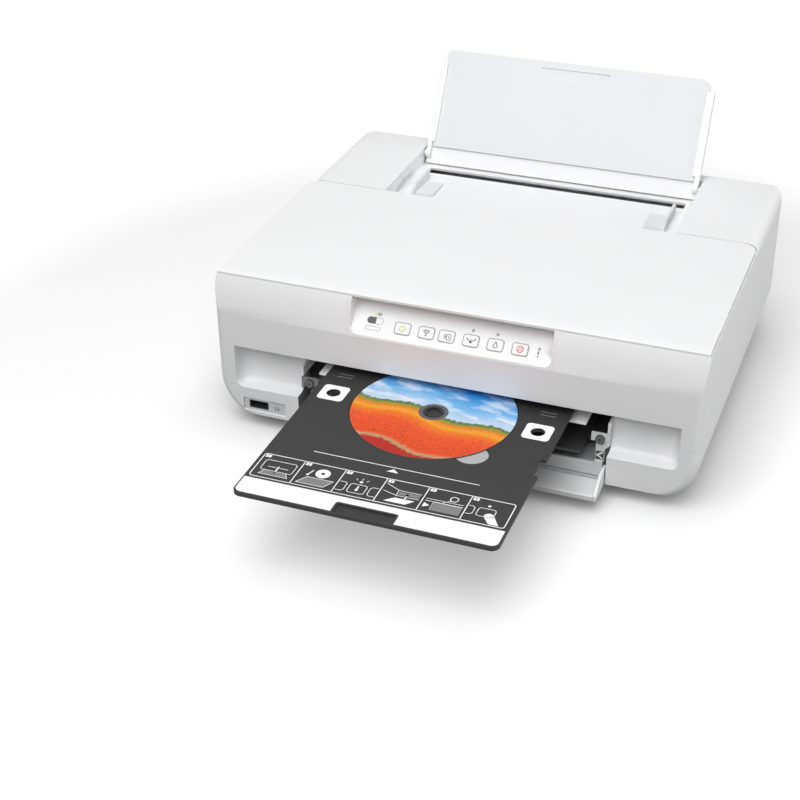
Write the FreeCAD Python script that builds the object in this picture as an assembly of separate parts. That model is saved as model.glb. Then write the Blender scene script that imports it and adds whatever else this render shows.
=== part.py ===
import FreeCAD, Part
import math
import os

from FreeCAD import Vector

# Disc label printer: a small desktop ink printer with a slide-in disc tray, as separate moving pieces.
#
# Millimetres, +Z up. While the pieces are made, X = 0 is the middle of the machine, Y = 0 is the plane of its
# front face with +Y running to the back, and Z = 0 is the table. Each piece is then moved so that the origin
# lies under the middle of the whole machine, on the table.

os.makedirs("parts", exist_ok=True)

# ---------------------------------------------------------------- driving dimensions

wall = 2.6                  # moulded housing wall
gap = 0.3                   # clearance between pieces that move past each other
fit = 0.05                  # radial clearance of a shaft in its bore

# casing
body_half = 186.5           # half the width
body_rear = 302.0           # back of the casing
belly_z = 11.0              # underside of the casing
deck_z = 127.0              # top of the rear deck
hull_radius = 38.0          # curve that draws the sides in under the casing
hull_top = 43.0             # height at which that curve starts
front_round = 6.0           # rounding of the front corners
rear_round = 14.0           # rounding of the rear corners
deck_round = 9.0            # rounding along the rear deck
parting_z = 51.0            # seam between lower and upper shell
parting_gap = 0.3
beyond_x = body_half + 20   # well clear of the casing, for cuts that go right through
beyond_y = body_rear + 20
beyond_z = deck_z + 20

# front of the upper shell
fold_z = 97.0               # crease between the flat fascia and the rounded brow
brow_y = 8.0                # the brow ends here, at the lid seam
brow_z = 125.5
mouth_half = body_half - 66.0    # half width of the front opening
mouth_top = 69.5
leg_half = body_half - 11.0      # the legs beside the opening reach out to here
jamb_deep = 24.0            # how far the walls of the opening run back
scoop_end = leg_half - 3.5  # outer end of the hollow beside the opening
scoop_ledge = 34.5          # height of the ledge under it
scoop_foot = 10.5           # depth of the hollow at the ledge
scoop_depth = 20.0          # depth at the top
scoop_end_round = 9.0
scoop_foot_round = 6.0

# sloping key panel in the brow
panel_half = 76.5
panel_foot_y = 0.6
panel_foot_z = 98.8
panel_tilt = 45.0           # from upright
panel_rise = 31.0           # length up the slope
panel_plate = 2.0
panel_corner = 6.0
key_w = 12.0
key_h = 9.0
key_corner = 2.0
key_proud = 0.5
key_body = 4.2              # depth of a key through and behind the plate
key_up = 9.8                # key centres, up the slope
key_pitch = 18.4
key_pair = 15.5             # the two wireless keys sit closer
first_key_x = -37.2
lamp_up = 17.6
lamp_r = 1.1
lamp_len = 3.0
bar_lamp_x = -58.0
bar_lamp_w = 6.0
alert_lamp_x = 65.6
alert_lamp_up = 12.6

# lid
lid_half = body_half - 1.0
lid_rear = 184.0
lid_top = 128.0
lid_nose_z = 127.0          # top of the lid at its front edge
lid_plate = 2.6
lid_corner = 12.0
lid_crown_y = 24.0          # the lid is flat behind this
lid_open = 50.0             # degrees
lid_pin_y = lid_rear - 4.0
lid_pin_z = lid_top - 5.2
lid_pin_r = 1.2
lid_ear_x = body_half - 20.5
lid_ear_w = 3.0
lid_knuckle_r = 2.2
seam = 0.5
deck_front = lid_pin_y + math.hypot(lid_rear - lid_pin_y, lid_top - lid_pin_z) + seam
gutter_top = lid_pin_z - 6.8    # catches what falls through the gap behind the lid

# rear paper feed
trough_half = 121.0
trough_wall_top = deck_z - 1.0
trough_front = deck_front + wall + 0.1
trough_rear = 291.0
trough_z = 113.0
slot_y = 262.0
slot_w = 11.0
slot_half = 112.0
support_half = 119.0
support_len = 92.0
support_tail = 8.5          # the plate runs on below its pivot
support_plate = 3.0
support_set = 1.2           # pivot to the plate's front face
support_pin_r = 2.0
support_lean = 30.0         # from upright, leaning back
support_pivot_y = 281.0
support_pivot_z = deck_z - support_plate - support_set
support_rail = 4.0
leaf_plate = 2.2            # the pull-out leaf in front of it
leaf_len = 84.0
guide_half = 105.3          # inner faces of the side guides, at their widest
guide_plate = 2.4
guide_long = 46.0
guide_foot = 16.0
guide_y = 206.0

# disc tray
tray_half = 93.0
tray_front = -167.3
tray_rear = 75.0
tray_top = 64.1
tray_plate = 3.0
tray_corner = 6.0
disc_y = -29.2
disc_r = 60.0
disc_bore = 7.5
disc_thick = 1.2
seat_r = 60.5               # recess that takes the disc
seat_deep = 1.2
mark_x = 77.5               # registration holes beside the disc
mark_r = 5.0
nib_y0 = -81.5              # notch in the right edge
nib_y1 = -61.0
nib_in = 3.4
grip_half = 20.5            # finger notch in the front edge
grip_deep = 11.5
grip_step = 1.2
thumb_r = 12.0              # thumb hollow at the disc's rim
thumb_x = 43.0
thumb_y = -71.0
tray_travel_in = 168.0
hub_high = 0.6              # the hub ring stands this far above the tray
hub_wall = 2.6
hub_fingers = 3

# tray guides inside the opening
guide_rail_top = 57.5
guide_rail_w = 19.5
guide_rail_out = (tray_half + mouth_half) / 2 - 3.25
guide_rail_in = guide_rail_out - guide_rail_w
guide_rail_front = 4.0
guide_rail_rear = 44.0
bracket_y = 8.0
bracket_plate = 2.0
bracket_leg_out = mouth_half - 3.3
bracket_leg_in = bracket_leg_out - 6.7
bracket_arm_in = bracket_leg_in - 3.8
bracket_low = 25.6
bracket_elbow = 41.5
bracket_high = 48.2
bracket_screw_x = bracket_leg_in + 3.1
bracket_screw_z = 44.0
screw_head_r = 3.5
screw_shank_r = 1.5

# paper cassette, front cover and output tray
cassette_half = mouth_half - 3.5
cassette_front = 3.6
cassette_rear = 250.0
cassette_low = 15.0
cassette_high = 25.0
cassette_wall = 2.4
cassette_tab_in = cassette_half - 6.0
cassette_rim_in = cassette_half - 10.5
cassette_rim_front = 30.0
cassette_tab_high = 27.4
cover_half = mouth_half - 0.7
cover_pivot_y = 3.0
cover_pivot_z = 13.2
cover_reach = 26.0          # from pivot to the far edge
cover_wall = 2.2
cover_lip = 4.4
cover_ear = 13.6
cover_pin_r = 1.4
stacker_half = cassette_rim_in - 6.5
stacker_front = 6.5
stacker_rear = 205.0
stacker_z = 28.6
stacker_plate = 2.6

# ports
usb_x0 = 8.5 - leg_half
usb_x1 = usb_x0 + 35.0
usb_z0 = belly_z + wall + 0.6
usb_z1 = 25.2
usb_slot_x = usb_x0 + 12.3
usb_slot_z = 19.6
usb_slot_w = 16.0
usb_slot_h = 7.0
usb_deep = 1.2              # the plate lies this far behind the leg's face
inlet_x = 36.5 - body_half
inlet_z = 30.0
inlet_w = 20.0
inlet_h = 11.0
data_x = body_half - 66.5
data_z = 34.0
data_w = 12.6
data_h = 11.4

# frame and mechanism
plate = 1.5                 # sheet steel
side_x = body_half - 28.5    # inner faces of the frame's side plates
frame_front = 44.0
frame_back = 146.0
frame_top = 110.0
frame_low = 66.5
roller_y = 134.0
roller_z = 54.6
roller_r = 6.0
roller_half = 112.0
sleeve_half = 9.0
sleeve_pitch = roller_half * 3 / 8
pinch_half = 12.0
pinch_pitch = roller_half * 3 / 7
shaft_r = 3.0
eject_y = 52.0
pinch_r = 3.0
pinch_z = tray_top + gap + pinch_r + 0.1
star_r = 4.0
star_z = tray_top + gap + star_r + 0.1
star_count = 8
star_pitch = 24.0
star_teeth = 9
platen_top = 60.6
platen_deep = 5.0
platen_front = 62.0
platen_rear = 126.0
rib_pitch = 18.0
rod_y = 131.0
rod_z = 92.0
rod_r = 4.0
module = 1.0
feed_teeth = 44
idler_teeth = 42
eject_teeth = 36
pinion_teeth = 12
gear_w = 5.0
gear_x = -side_x - plate - 7.5   # outer face of the gear train
pinion_angle = -60.0
motor_r = 14.0

# print carriage
carriage_w = 96.0
carriage_home = side_x - carriage_w / 2 - 1.0
carriage_front = 66.0
carriage_rear = 124.0
carriage_low = 68.0
carriage_high = 100.0
carriage_wall = 2.0
head_low = 65.4
head_front = carriage_front + 12.0
head_rear = carriage_front + 46.0
cartridge_count = 6
cartridge_pitch = 15.0
cartridge_w = 13.4
cartridge_long = 50.0
cartridge_high = 36.0
belt_y = 139.8
belt_w = 4.0
belt_z = 104.5
belt_t = 1.2
pulley_r = 5.5
pulley_x = side_x - 10.0

foot_x = body_half - 46.5
foot_ys = (32.0, body_rear - 30.0)
foot_r = 9.0
foot_high = 3.0

# electrics
supply_out = body_half - 23.5
supply_wide = 39.5
supply_front = body_rear - 126.0
supply_top = 44.0
board_out = body_half - 22.5
board_wide = 40.0
board_long = 108.0
motor_flat = 8.5            # the carriage motor's can is cut flat above and below
rear_door_half = 104.0
rear_door_low = 40.0
rear_door_high = 100.0

pieces = {}


# ---------------------------------------------------------------- shapes used throughout

def box(x0, x1, y0, y1, z0, z1):
    return Part.makeBox(x1 - x0, y1 - y0, z1 - z0, Vector(x0, y0, z0))


def rod_along_x(x0, x1, y, z, r):
    return Part.makeCylinder(r, x1 - x0, Vector(x0, y, z), Vector(1, 0, 0))


def rod_along_y(x, y0, y1, z, r):
    return Part.makeCylinder(r, y1 - y0, Vector(x, y0, z), Vector(0, 1, 0))


def post(x, y, z0, z1, r):
    return Part.makeCylinder(r, z1 - z0, Vector(x, y, z0), Vector(0, 0, 1))


def side_prism(x0, x1, outline):
    """Extrude a closed outline of (y, z) points along X."""
    points = [Vector(x0, y, z) for y, z in outline]
    face = Part.Face(Part.makePolygon(points + [points[0]]))
    return face.extrude(Vector(x1 - x0, 0, 0))


def front_prism(y0, y1, outline):
    """Extrude a closed outline of (x, z) points along Y."""
    points = [Vector(x, y0, z) for x, z in outline]
    face = Part.Face(Part.makePolygon(points + [points[0]]))
    return face.extrude(Vector(0, y1 - y0, 0))


def plan_slab(x0, x1, y0, y1, z0, z1, r):
    """A slab with rounded corners in plan."""
    slab = box(x0, x1, y0, y1, z0, z1)
    upright = [e for e in slab.Edges if abs(e.tangentAt(e.FirstParameter).z) > 0.9]
    return slab.makeFillet(r, upright)


def mirrored(shape):
    return shape.mirror(Vector(0, 0, 0), Vector(1, 0, 0))


def both_sides(shape):
    return [shape, mirrored(shape)]


def fuse(shapes):
    whole = shapes[0]
    if len(shapes) > 1:
        whole = whole.multiFuse(shapes[1:])
    return whole.removeSplitter()


# ---------------------------------------------------------------- casing

def casing_solid(inset):
    """The casing's outer form, drawn in by inset: sides curve in below, brow rounded, corners rounded."""
    half = body_half - inset
    top = lid_top + 2.0
    r = hull_radius - inset
    cx = body_half - hull_radius
    keel = hull_top - r
    diag = r * math.sqrt(0.5)

    def at(x, z):
        return Vector(x, inset, z)

    edges = [
        Part.LineSegment(at(-cx, keel), at(cx, keel)),
        Part.Arc(at(cx, keel), at(cx + diag, hull_top - diag), at(half, hull_top)),
        Part.LineSegment(at(half, hull_top), at(half, top)),
        Part.LineSegment(at(half, top), at(-half, top)),
        Part.LineSegment(at(-half, top), at(-half, hull_top)),
        Part.Arc(at(-half, hull_top), at(-cx - diag, hull_top - diag), at(-cx, keel)),
    ]
    wire = Part.Wire([e.toShape() for e in edges])
    solid = Part.Face(wire).extrude(Vector(0, body_rear - 2 * inset, 0))
    rounded_ends = [(body_rear - inset, rear_round - inset)]
    if inset == 0:
        rounded_ends.append((0, front_round))     # inside, the wall is thinner at the front corners
    for y, r_corner in rounded_ends:
        rim = [e for e in solid.Edges
               if abs(e.BoundBox.YMin - y) < 0.01 and abs(e.BoundBox.YMax - y) < 0.01
               and e.BoundBox.ZMin < top - 1.0]
        solid = solid.makeFillet(r_corner, rim)
    solid = solid.cut(box(-beyond_x, beyond_x, -5, beyond_y, -10, belly_z + inset))
    return solid.common(side_form(inset))


def side_form(inset):
    """The casing seen from the side: upright fascia, crease, rounded brow, then the lid's nose and flat top."""
    def at(y, z):
        return Vector(-beyond_x, y, z)

    fold = at(inset, fold_z)
    brow_end = at(brow_y + 0.9 * inset, brow_z - 0.45 * inset)
    nose = at(brow_y + seam + 0.9 * inset, lid_nose_z - inset)
    flat = at(lid_crown_y, lid_top - inset)
    brow = Part.BezierCurve()
    brow.setPoles([fold, fold + Vector(0, 1.9, 10.0), brow_end - Vector(0, 3.7, 8.0), brow_end])
    crown = Part.BezierCurve()
    crown.setPoles([nose, nose + Vector(0, 3.5, 0.75), flat - Vector(0, 6.0, 0), flat])
    low = at(inset, 0)
    back = at(beyond_y, 0)
    back_top = at(beyond_y, lid_top - inset)
    edges = [
        Part.LineSegment(low, fold).toShape(),
        brow.toShape(),
        Part.LineSegment(brow_end, nose).toShape(),
        crown.toShape(),
        Part.LineSegment(flat, back_top).toShape(),
        Part.LineSegment(back_top, back).toShape(),
        Part.LineSegment(back, low).toShape(),
    ]
    return Part.Face(Part.Wire(edges)).extrude(Vector(2 * beyond_x, 0, 0))


def deck_trim(inset):
    """What is cut off above the rear deck, with its rounded side edges."""
    top = deck_z - inset
    r = deck_round - inset
    edge = body_half - deck_round
    y0 = lid_rear + 1
    above = box(-beyond_x, beyond_x, y0, beyond_y, top, beyond_z)
    corners = box(edge, beyond_x, y0, beyond_y, deck_z - deck_round, beyond_z)
    corners = corners.cut(rod_along_y(edge, y0 - 1, beyond_y + 1, deck_z - deck_round, r))
    return fuse([above] + both_sides(corners))


def casing_shell():
    outer = casing_solid(0).cut(deck_trim(0))
    inner = casing_solid(wall).cut(deck_trim(wall))
    return outer, inner, outer.cut(inner)


outer_form, inner_form, shell = casing_shell()


def make_lower_shell():
    """The base: floor, curved sides up to the seam, the legs beside the opening and the hollows' liners."""
    low = shell.common(box(-beyond_x, beyond_x, -5, beyond_y, 0, parting_z - parting_gap / 2))
    low = low.cut(box(-mouth_half, mouth_half, -5, jamb_deep + seam, 0, parting_z))
    low = low.cut(fuse(both_sides(scoop(wall))))
    floor = belly_z + wall
    extra = [post(x, y, foot_high, belly_z + 1.0, foot_r + 1.5) for y in foot_ys for x in (-foot_x, foot_x)]
    rail_in = cassette_half + 2.0
    rail = box(rail_in, rail_in + 2.2, jamb_deep - 1, cassette_rear + 4, floor - 0.5, cassette_high + 2.0)
    low = fuse([low] + extra + both_sides(rail) + leg_walls())
    inlet = box(inlet_x - inlet_w / 2, inlet_x + inlet_w / 2, body_rear - 6, body_rear + 2,
                inlet_z - inlet_h / 2, inlet_z + inlet_h / 2)
    data = box(data_x - data_w / 2, data_x + data_w / 2, body_rear - 6, body_rear + 2,
               data_z - data_h / 2, data_z + data_h / 2)
    window = box(usb_x0, usb_x1, -5, 2 * wall, usb_z0, usb_z1)
    pivot = rod_along_x(-mouth_half - 2 * wall, mouth_half + 2 * wall, cover_pivot_y, cover_pivot_z,
                        cover_pin_r + fit)
    return low.cut(inlet).cut(data).cut(window).cut(pivot).cut(rear_door_hole())


def leg_walls():
    """Liners of the two hollows, which rise behind the fascia, and the jambs of the opening."""
    top = mouth_top - gap
    seam_z = parting_z - parting_gap / 2
    room = outer_form.common(box(-leg_half, leg_half, -5, 60, 0, top))
    behind_fascia = box(-beyond_x, beyond_x, -5, wall + gap, seam_z, beyond_z)
    liner = scoop(wall).cut(scoop(0)).common(box(mouth_half, leg_half, 0, 60, 0, top))
    jamb = box(mouth_half, mouth_half + wall, 0.5, jamb_deep, belly_z, top)
    walls = [shape.common(room).cut(scoop(0)).cut(behind_fascia) for shape in (liner, jamb)]
    return [wall_shape for shape in walls for wall_shape in both_sides(shape)]


def rear_door_hole():
    return box(-rear_door_half, rear_door_half, body_rear - 8, body_rear + 4, rear_door_low, rear_door_high)


def make_upper_shell():
    """Fascia, brow and sides in one moulding, with the rim that carries the lid and the rear deck."""
    up = shell.common(box(-beyond_x, beyond_x, -5, beyond_y, parting_z + parting_gap / 2, beyond_z))
    lid_room = box(-beyond_x, beyond_x, brow_y, deck_front, fold_z, beyond_z).cut(side_form(lid_plate + seam))
    turn = math.radians(lid_open)
    above_pin = lid_top - lid_plate - lid_pin_z
    swing_low = lid_pin_z + above_pin * math.cos(turn) - (lid_rear - lid_pin_y) * math.sin(turn)
    swing = box(-beyond_x, beyond_x, lid_pin_y - 1, deck_front, swing_low - seam, beyond_z)
    mouth = box(-mouth_half, mouth_half, -5, 2 * jamb_deep, 0, mouth_top)
    up = up.cut(fuse([lid_room, swing])).cut(fuse([mouth] + both_sides(scoop(0))))
    lintel_half = scoop_end + wall
    lintel = box(-lintel_half, lintel_half, 0.5, jamb_deep, mouth_top, mouth_top + wall)
    up = fuse([up, lintel]).cut(panel_cut(panel_plate + 0.1))
    up = fuse([up] + rear_walls())
    well = box(-trough_half, trough_half, deck_front - 1, trough_rear, trough_z, beyond_z)
    slot = box(-slot_half, slot_half, slot_y, slot_y + slot_w, trough_z - wall - 5, trough_z + 1)
    pivots = both_sides(rod_along_x(trough_half - 1, trough_half + 6, support_pivot_y, support_pivot_z,
                                    support_pin_r + fit))
    up = up.cut(well).cut(slot).cut(fuse(pivots)).cut(rear_door_hole())
    return fuse([up] + both_sides(lid_knuckle()))


def rear_walls():
    """The trough's floor and walls, the bulkhead behind the lid and the gutter under the gap behind it."""
    trough = box(-trough_half - wall, trough_half + wall, trough_front - wall, trough_rear + wall,
                 trough_z - wall, trough_wall_top)
    bulkhead = box(-body_half, body_half, deck_front, deck_front + wall, rear_door_high, deck_z - wall + 0.1)
    gutter = box(-body_half, body_half, lid_pin_y - 8, deck_front + 1, gutter_top - wall, gutter_top)
    return [shape.common(outer_form) for shape in (trough, bulkhead, gutter)]


def lid_knuckle():
    """The ear that holds one of the lid's hinge pins."""
    x0 = lid_ear_x + lid_ear_w + seam
    x1 = x0 + lid_ear_w
    r = lid_knuckle_r
    ear = fuse([
        rod_along_x(x0, x1, lid_pin_y, lid_pin_z, r),
        box(x0, x1, lid_pin_y - r, lid_pin_y + r, gutter_top - 1, lid_pin_z)])
    return ear.cut(rod_along_x(x0 - 1, x1 + 1, lid_pin_y, lid_pin_z, lid_pin_r + fit))


def make_rear_door():
    """Panel over the back of the paper path, with finger pulls and a row of vents."""
    c = 0.4
    door = box(-rear_door_half + c, rear_door_half - c, body_rear - wall, body_rear + 1.2,
               rear_door_low + c, rear_door_high - c)
    pocket = box(-8, 8, body_rear - 1.0, body_rear + 2, rear_door_high - 16, rear_door_high - 6)
    for x in (-rear_door_half + 16, rear_door_half - 16):
        door = door.cut(pocket.translated(Vector(x, 0, 0)))
    vents = []
    for i in range(-9, 10):
        vents.append(box(i * 8 - 1.5, i * 8 + 1.5, body_rear - 6, body_rear + 3, rear_door_low + 8,
                         rear_door_low + 26))
    return door.cut(Part.makeCompound(vents))


# ---------------------------------------------------------------- front

def scoop(grow):
    """The hollow beside the opening as a solid to cut: a ledge, a wall that leans back, a soft outer end.

    grow makes the larger form from which its liner is left.
    """
    outline = [
        (-5, scoop_ledge - grow),
        (scoop_foot + grow, scoop_ledge - grow),
        (scoop_depth + grow, mouth_top + grow),
        (-5, mouth_top + grow),
    ]
    end_x = scoop_end + grow
    tool = side_prism(mouth_half - 10, end_x, outline)
    end = []
    for e in tool.Edges:
        b = e.BoundBox
        if b.YMin > 0.1 and b.XMin > end_x - 0.1 and b.ZLength > 1.0:
            end.append(e)
    tool = tool.makeFillet(scoop_end_round + grow, end)
    if grow:
        return tool         # behind, the liner's foot is left square
    foot = [e for e in tool.Edges
            if e.BoundBox.YMin > scoop_foot - scoop_end_round and e.BoundBox.XLength > scoop_end_round + 12
            and e.BoundBox.ZMax < scoop_ledge + 0.1]
    return tool.makeFillet(scoop_foot_round, foot)


def panel_cut(grow):
    """The recess of the key panel: a sloping floor, upright ends and rounded lower corners."""
    t = math.radians(panel_tilt)
    up = Vector(0, math.sin(t), math.cos(t))
    back = Vector(0, math.cos(t), -math.sin(t))
    foot = Vector(0, panel_foot_y, panel_foot_z) + back * grow
    head = foot + up * (panel_rise + 4)
    outline = [(foot.y - 20, foot.z), (foot.y, foot.z), (head.y, head.z), (head.y - 40, head.z)]
    if grow:
        outline[0] = (foot.y - 20, foot.z - grow * 0.4)
        outline[1] = (foot.y - grow * 0.4, foot.z - grow * 0.4)
    prism = side_prism(-panel_half - grow, panel_half + grow, outline)
    frame = box(-panel_half - grow, panel_half + grow, -30, 60, panel_foot_z - 2.5 * grow, 160)
    low = [e for e in frame.Edges
           if abs(e.tangentAt(e.FirstParameter).y) > 0.9 and e.BoundBox.ZMax < panel_foot_z + 1]
    frame = frame.makeFillet(panel_corner + grow, low)
    return prism.common(frame)


def on_panel(x, up, out):
    """A point on the key panel: x across, up the slope, out from its face."""
    t = math.radians(panel_tilt)
    return Vector(x,
                  panel_foot_y + up * math.sin(t) - out * math.cos(t),
                  panel_foot_z + up * math.cos(t) + out * math.sin(t))


def panel_block(x, up, w, h, out0, out1, r):
    """A rounded block standing square to the key panel, from out0 to out1 of its face."""
    block = Part.makeBox(w, h, out1 - out0, Vector(-w / 2, -h / 2, out0))
    if r:
        upright = [e for e in block.Edges if abs(e.tangentAt(e.FirstParameter).z) > 0.9]
        block = block.makeFillet(r, upright)
    block.rotate(Vector(0, 0, 0), Vector(1, 0, 0), 90 - panel_tilt)
    block.translate(on_panel(x, up, 0))
    return block


key_names = ("power_key", "wireless_key", "network_key", "tray_key", "ink_key", "cancel_key")


def key_places():
    xs = [first_key_x, first_key_x + key_pitch, first_key_x + key_pitch + key_pair]
    while len(xs) < len(key_names):
        xs.append(xs[-1] + key_pitch)
    return xs


def lamp_blocks(clear):
    d = 2 * (lamp_r + clear)
    xs = key_places()
    blocks = [
        panel_block(xs[3], lamp_up, d, d, -lamp_len, 0.15, d / 2 - 0.01),
        panel_block(xs[4], lamp_up, d, d, -lamp_len, 0.15, d / 2 - 0.01),
        panel_block(alert_lamp_x, alert_lamp_up, d, d, -lamp_len, 0.15, d / 2 - 0.01),
        panel_block(bar_lamp_x, lamp_up, bar_lamp_w + 2 * clear, d, -lamp_len, 0.15, d / 2 - 0.01),
    ]
    return blocks


def make_key_panel():
    """The sloping plate with its end walls, and holes for keys and lamps."""
    liner = panel_cut(panel_plate).cut(panel_cut(0))
    keep = outer_form.cut(box(-beyond_x, beyond_x, brow_y, deck_front, fold_z, beyond_z).cut(
        side_form(lid_plate + seam))).common(box(-panel_half - 9, panel_half + 9, -5, 30, 90, brow_z - 3.6))
    liner = liner.common(keep)
    for x in key_places():
        liner = liner.cut(panel_block(x, key_up, key_w + 2 * gap, key_h + 2 * gap, -10, 5, key_corner + gap))
    for lamp in lamp_blocks(fit):
        liner = liner.cut(lamp)
    return liner


def make_key(x):
    """A key cap that runs in its hole, with a rim behind the plate that keeps it in."""
    cap = panel_block(x, key_up, key_w, key_h, -key_body, key_proud, key_corner)
    rim = panel_block(x, key_up, key_w + 2.4, key_h + 2.4, -key_body, -panel_plate - gap - 0.1, 0)
    return fuse([cap, rim])


def make_usb_plate():
    c = 0.15
    block = box(usb_x0 + c, usb_x1 - c, usb_deep, wall + 0.2, usb_z0 + c, usb_z1 - c)
    mid = usb_slot_z
    slot = box(usb_slot_x - usb_slot_w / 2, usb_slot_x + usb_slot_w / 2, -1, 5,
               mid - usb_slot_h / 2, mid + usb_slot_h / 2)
    flange = box(usb_x0 + 0.15, usb_x1 + 1.5, wall + 0.1, wall + 1.3, usb_z0 - 0.3, usb_z1 + 1.5)
    return fuse([block, flange]).cut(slot)


def make_usb_socket():
    """Sheet metal shell of the port with its tongue."""
    mid = usb_slot_z
    w = usb_slot_w / 2 - 0.1
    h = usb_slot_h / 2 - 0.1
    outer = box(usb_slot_x - w, usb_slot_x + w, usb_deep + 0.4, 16, mid - h, mid + h)
    inner = box(usb_slot_x - w + 0.5, usb_slot_x + w - 0.5, 0, 14.5, mid - h + 0.5, mid + h - 0.5)
    tongue = box(usb_slot_x - w + 1.2, usb_slot_x + w - 1.2, 6, 15, mid + 0.2, mid + 1.8)
    return fuse([outer.cut(inner), tongue])


# ---------------------------------------------------------------- lid

def make_lid():
    """The printer cover: one thin moulding that follows the brow, with a skirt and two hinge ears."""
    skin = side_form(0).cut(side_form(lid_plate))
    span = plan_slab(-lid_half, lid_half, -40, lid_rear, brow_z - 8, beyond_z, lid_corner)
    front = box(-lid_half, lid_half, brow_y + seam, lid_rear, brow_z - 8, beyond_z)
    skin = skin.common(span).common(front)
    rib_x = body_half - wall - 2.0
    rib_rear = lid_pin_y - 9.0
    skirt_low = brow_z - 7
    skirt = box(-rib_x, rib_x, 40, rib_rear, skirt_low, lid_top - 1.0)
    skirt = skirt.cut(box(-rib_x + 1.8, rib_x - 1.8, 41.8, rib_rear - 1.8, skirt_low - 1, lid_top - lid_plate))
    r = lid_knuckle_r
    ear = side_prism(lid_ear_x, lid_ear_x + lid_ear_w, [
        (lid_pin_y - 12, lid_top - 2), (lid_pin_y - r, lid_pin_z - r),
        (lid_pin_y + r - 0.4, lid_pin_z - r), (lid_pin_y + r - 0.4, lid_top - 2)])
    pin = rod_along_x(lid_ear_x + 2, lid_ear_x + 2 * lid_ear_w + seam - 0.2, lid_pin_y, lid_pin_z, lid_pin_r)
    return fuse([skin, skirt] + both_sides(ear) + both_sides(pin))


# ---------------------------------------------------------------- rear paper feed

def leaned(shape):
    """Turn a shape drawn upright over the support's pivot to its leaning place."""
    turned = shape.copy()
    turned.rotate(Vector(0, support_pivot_y, support_pivot_z), Vector(1, 0, 0), -support_lean)
    return turned


def make_paper_support():
    """The rear feed's cover, opened to carry the paper: a plate with side rails, ribs and pivot pins."""
    y = support_pivot_y
    z = support_pivot_z
    back = y + support_set
    sheet = box(-support_half, support_half, back, back + support_plate, z - support_tail, z + support_len)
    up = [e for e in sheet.Edges
          if abs(e.tangentAt(e.FirstParameter).y) > 0.9 and e.BoundBox.ZMin > z + 10]
    sheet = sheet.makeFillet(10.0, up)
    rail = box(support_half - support_rail, support_half, back - leaf_plate - 1.6, back + 0.5,
               z - 3.0, z + support_len - 12)
    hook = box(support_half - support_rail - 2.5, support_half, back - leaf_plate - 1.6,
               back - leaf_plate - 0.4, z + 10, z + support_len - 12)
    knuckle = rod_along_x(support_half - support_rail, support_half, y, z, support_pin_r + 2.2)
    pin = rod_along_x(support_half - 1, trough_half + 2.4, y, z, support_pin_r)
    parts = [sheet]
    for shape in (rail, hook, knuckle, pin):
        parts += both_sides(shape)
    return leaned(fuse(parts))


def make_support_leaf():
    """The white leaf that pulls up out of the support, with a grip ridge along its top."""
    z = support_pivot_z
    back = support_pivot_y + support_set - 0.1
    half = support_half - support_rail - gap
    low = z + 6.0
    leaf = box(-half, half, back - leaf_plate, back, low, low + leaf_len)
    up = [e for e in leaf.Edges
          if abs(e.tangentAt(e.FirstParameter).y) > 0.9 and e.BoundBox.ZMin > z + 20]
    leaf = leaf.makeFillet(8.0, up)
    window = box(-30, 30, back - leaf_plate - 1, back - leaf_plate + 0.8, low + leaf_len - 14, low + leaf_len - 6)
    return leaned(leaf.cut(window))


def make_side_guide(side):
    """A side guide that stands in the trough and slides across it."""
    face = guide_half
    top = support_pivot_z + support_set - 0.1 - leaf_plate - gap - 0.1
    fin = side_prism(face, face + guide_plate, [
        (guide_y, trough_z + gap), (guide_y + guide_long, trough_z + gap),
        (guide_y + guide_long, top), (guide_y + 14, top), (guide_y, trough_z + 3.5)])
    foot = box(face - guide_foot, face + 1, guide_y + 8, guide_y + 34, trough_z + gap, trough_z + 2.0)
    guide = fuse([fin, foot])
    return guide if side > 0 else mirrored(guide)


# ---------------------------------------------------------------- disc tray

def make_disc_tray():
    """The flat carrier: disc seat with hub hole and thumb hollow, registration holes, grip at the front."""
    low = tray_top - tray_plate
    tray = plan_slab(-tray_half, tray_half, tray_front, tray_rear, low, tray_top, tray_corner)
    tray = tray.cut(post(0, disc_y, tray_top - seat_deep, tray_top + 1, seat_r))
    tray = tray.cut(post(thumb_x, thumb_y, tray_top - seat_deep, tray_top + 1, thumb_r))
    tray = tray.cut(post(0, disc_y, low - 1, tray_top + 1, disc_bore - hub_wall))
    for x in (-mark_x, mark_x):
        tray = tray.cut(post(x, disc_y, low - 1, tray_top + 1, mark_r))
    tray = tray.cut(box(tray_half - nib_in, tray_half + 5, nib_y0, nib_y1, low - 1, tray_top + 1))
    tray = tray.cut(plan_slab(-grip_half, grip_half, tray_front + 1.6, tray_front + grip_deep,
                              tray_top - grip_step, tray_top + 5, 2.0))
    under = box(-tray_half + 8, tray_half - 8, disc_y + seat_r + 12, tray_rear - 10, low - 1, low + 1.0)
    return fuse([tray.cut(under), tray_hub()])


def tray_hub():
    """The raised ring that centres the disc, slit into sprung fingers."""
    base = tray_top - seat_deep
    hub = post(0, disc_y, base - 0.6, tray_top + hub_high, disc_bore - fit)
    hub = hub.cut(post(0, disc_y, base - 5, tray_top + 5, disc_bore - hub_wall))
    for i in range(hub_fingers):
        slit = box(1.0, 20, -0.5, 0.5, base, tray_top + 5)
        slit.rotate(Vector(0, 0, 0), Vector(0, 0, 1), i * 360.0 / hub_fingers)
        slit.translate(Vector(0, disc_y, 0))
        hub = hub.cut(slit)
    return hub


def make_disc():
    base = tray_top - seat_deep
    disc = post(0, disc_y, base, base + disc_thick, disc_r)
    return disc.cut(post(0, disc_y, base - 1, base + 5, disc_bore))


# ---------------------------------------------------------------- inside the opening

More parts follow.
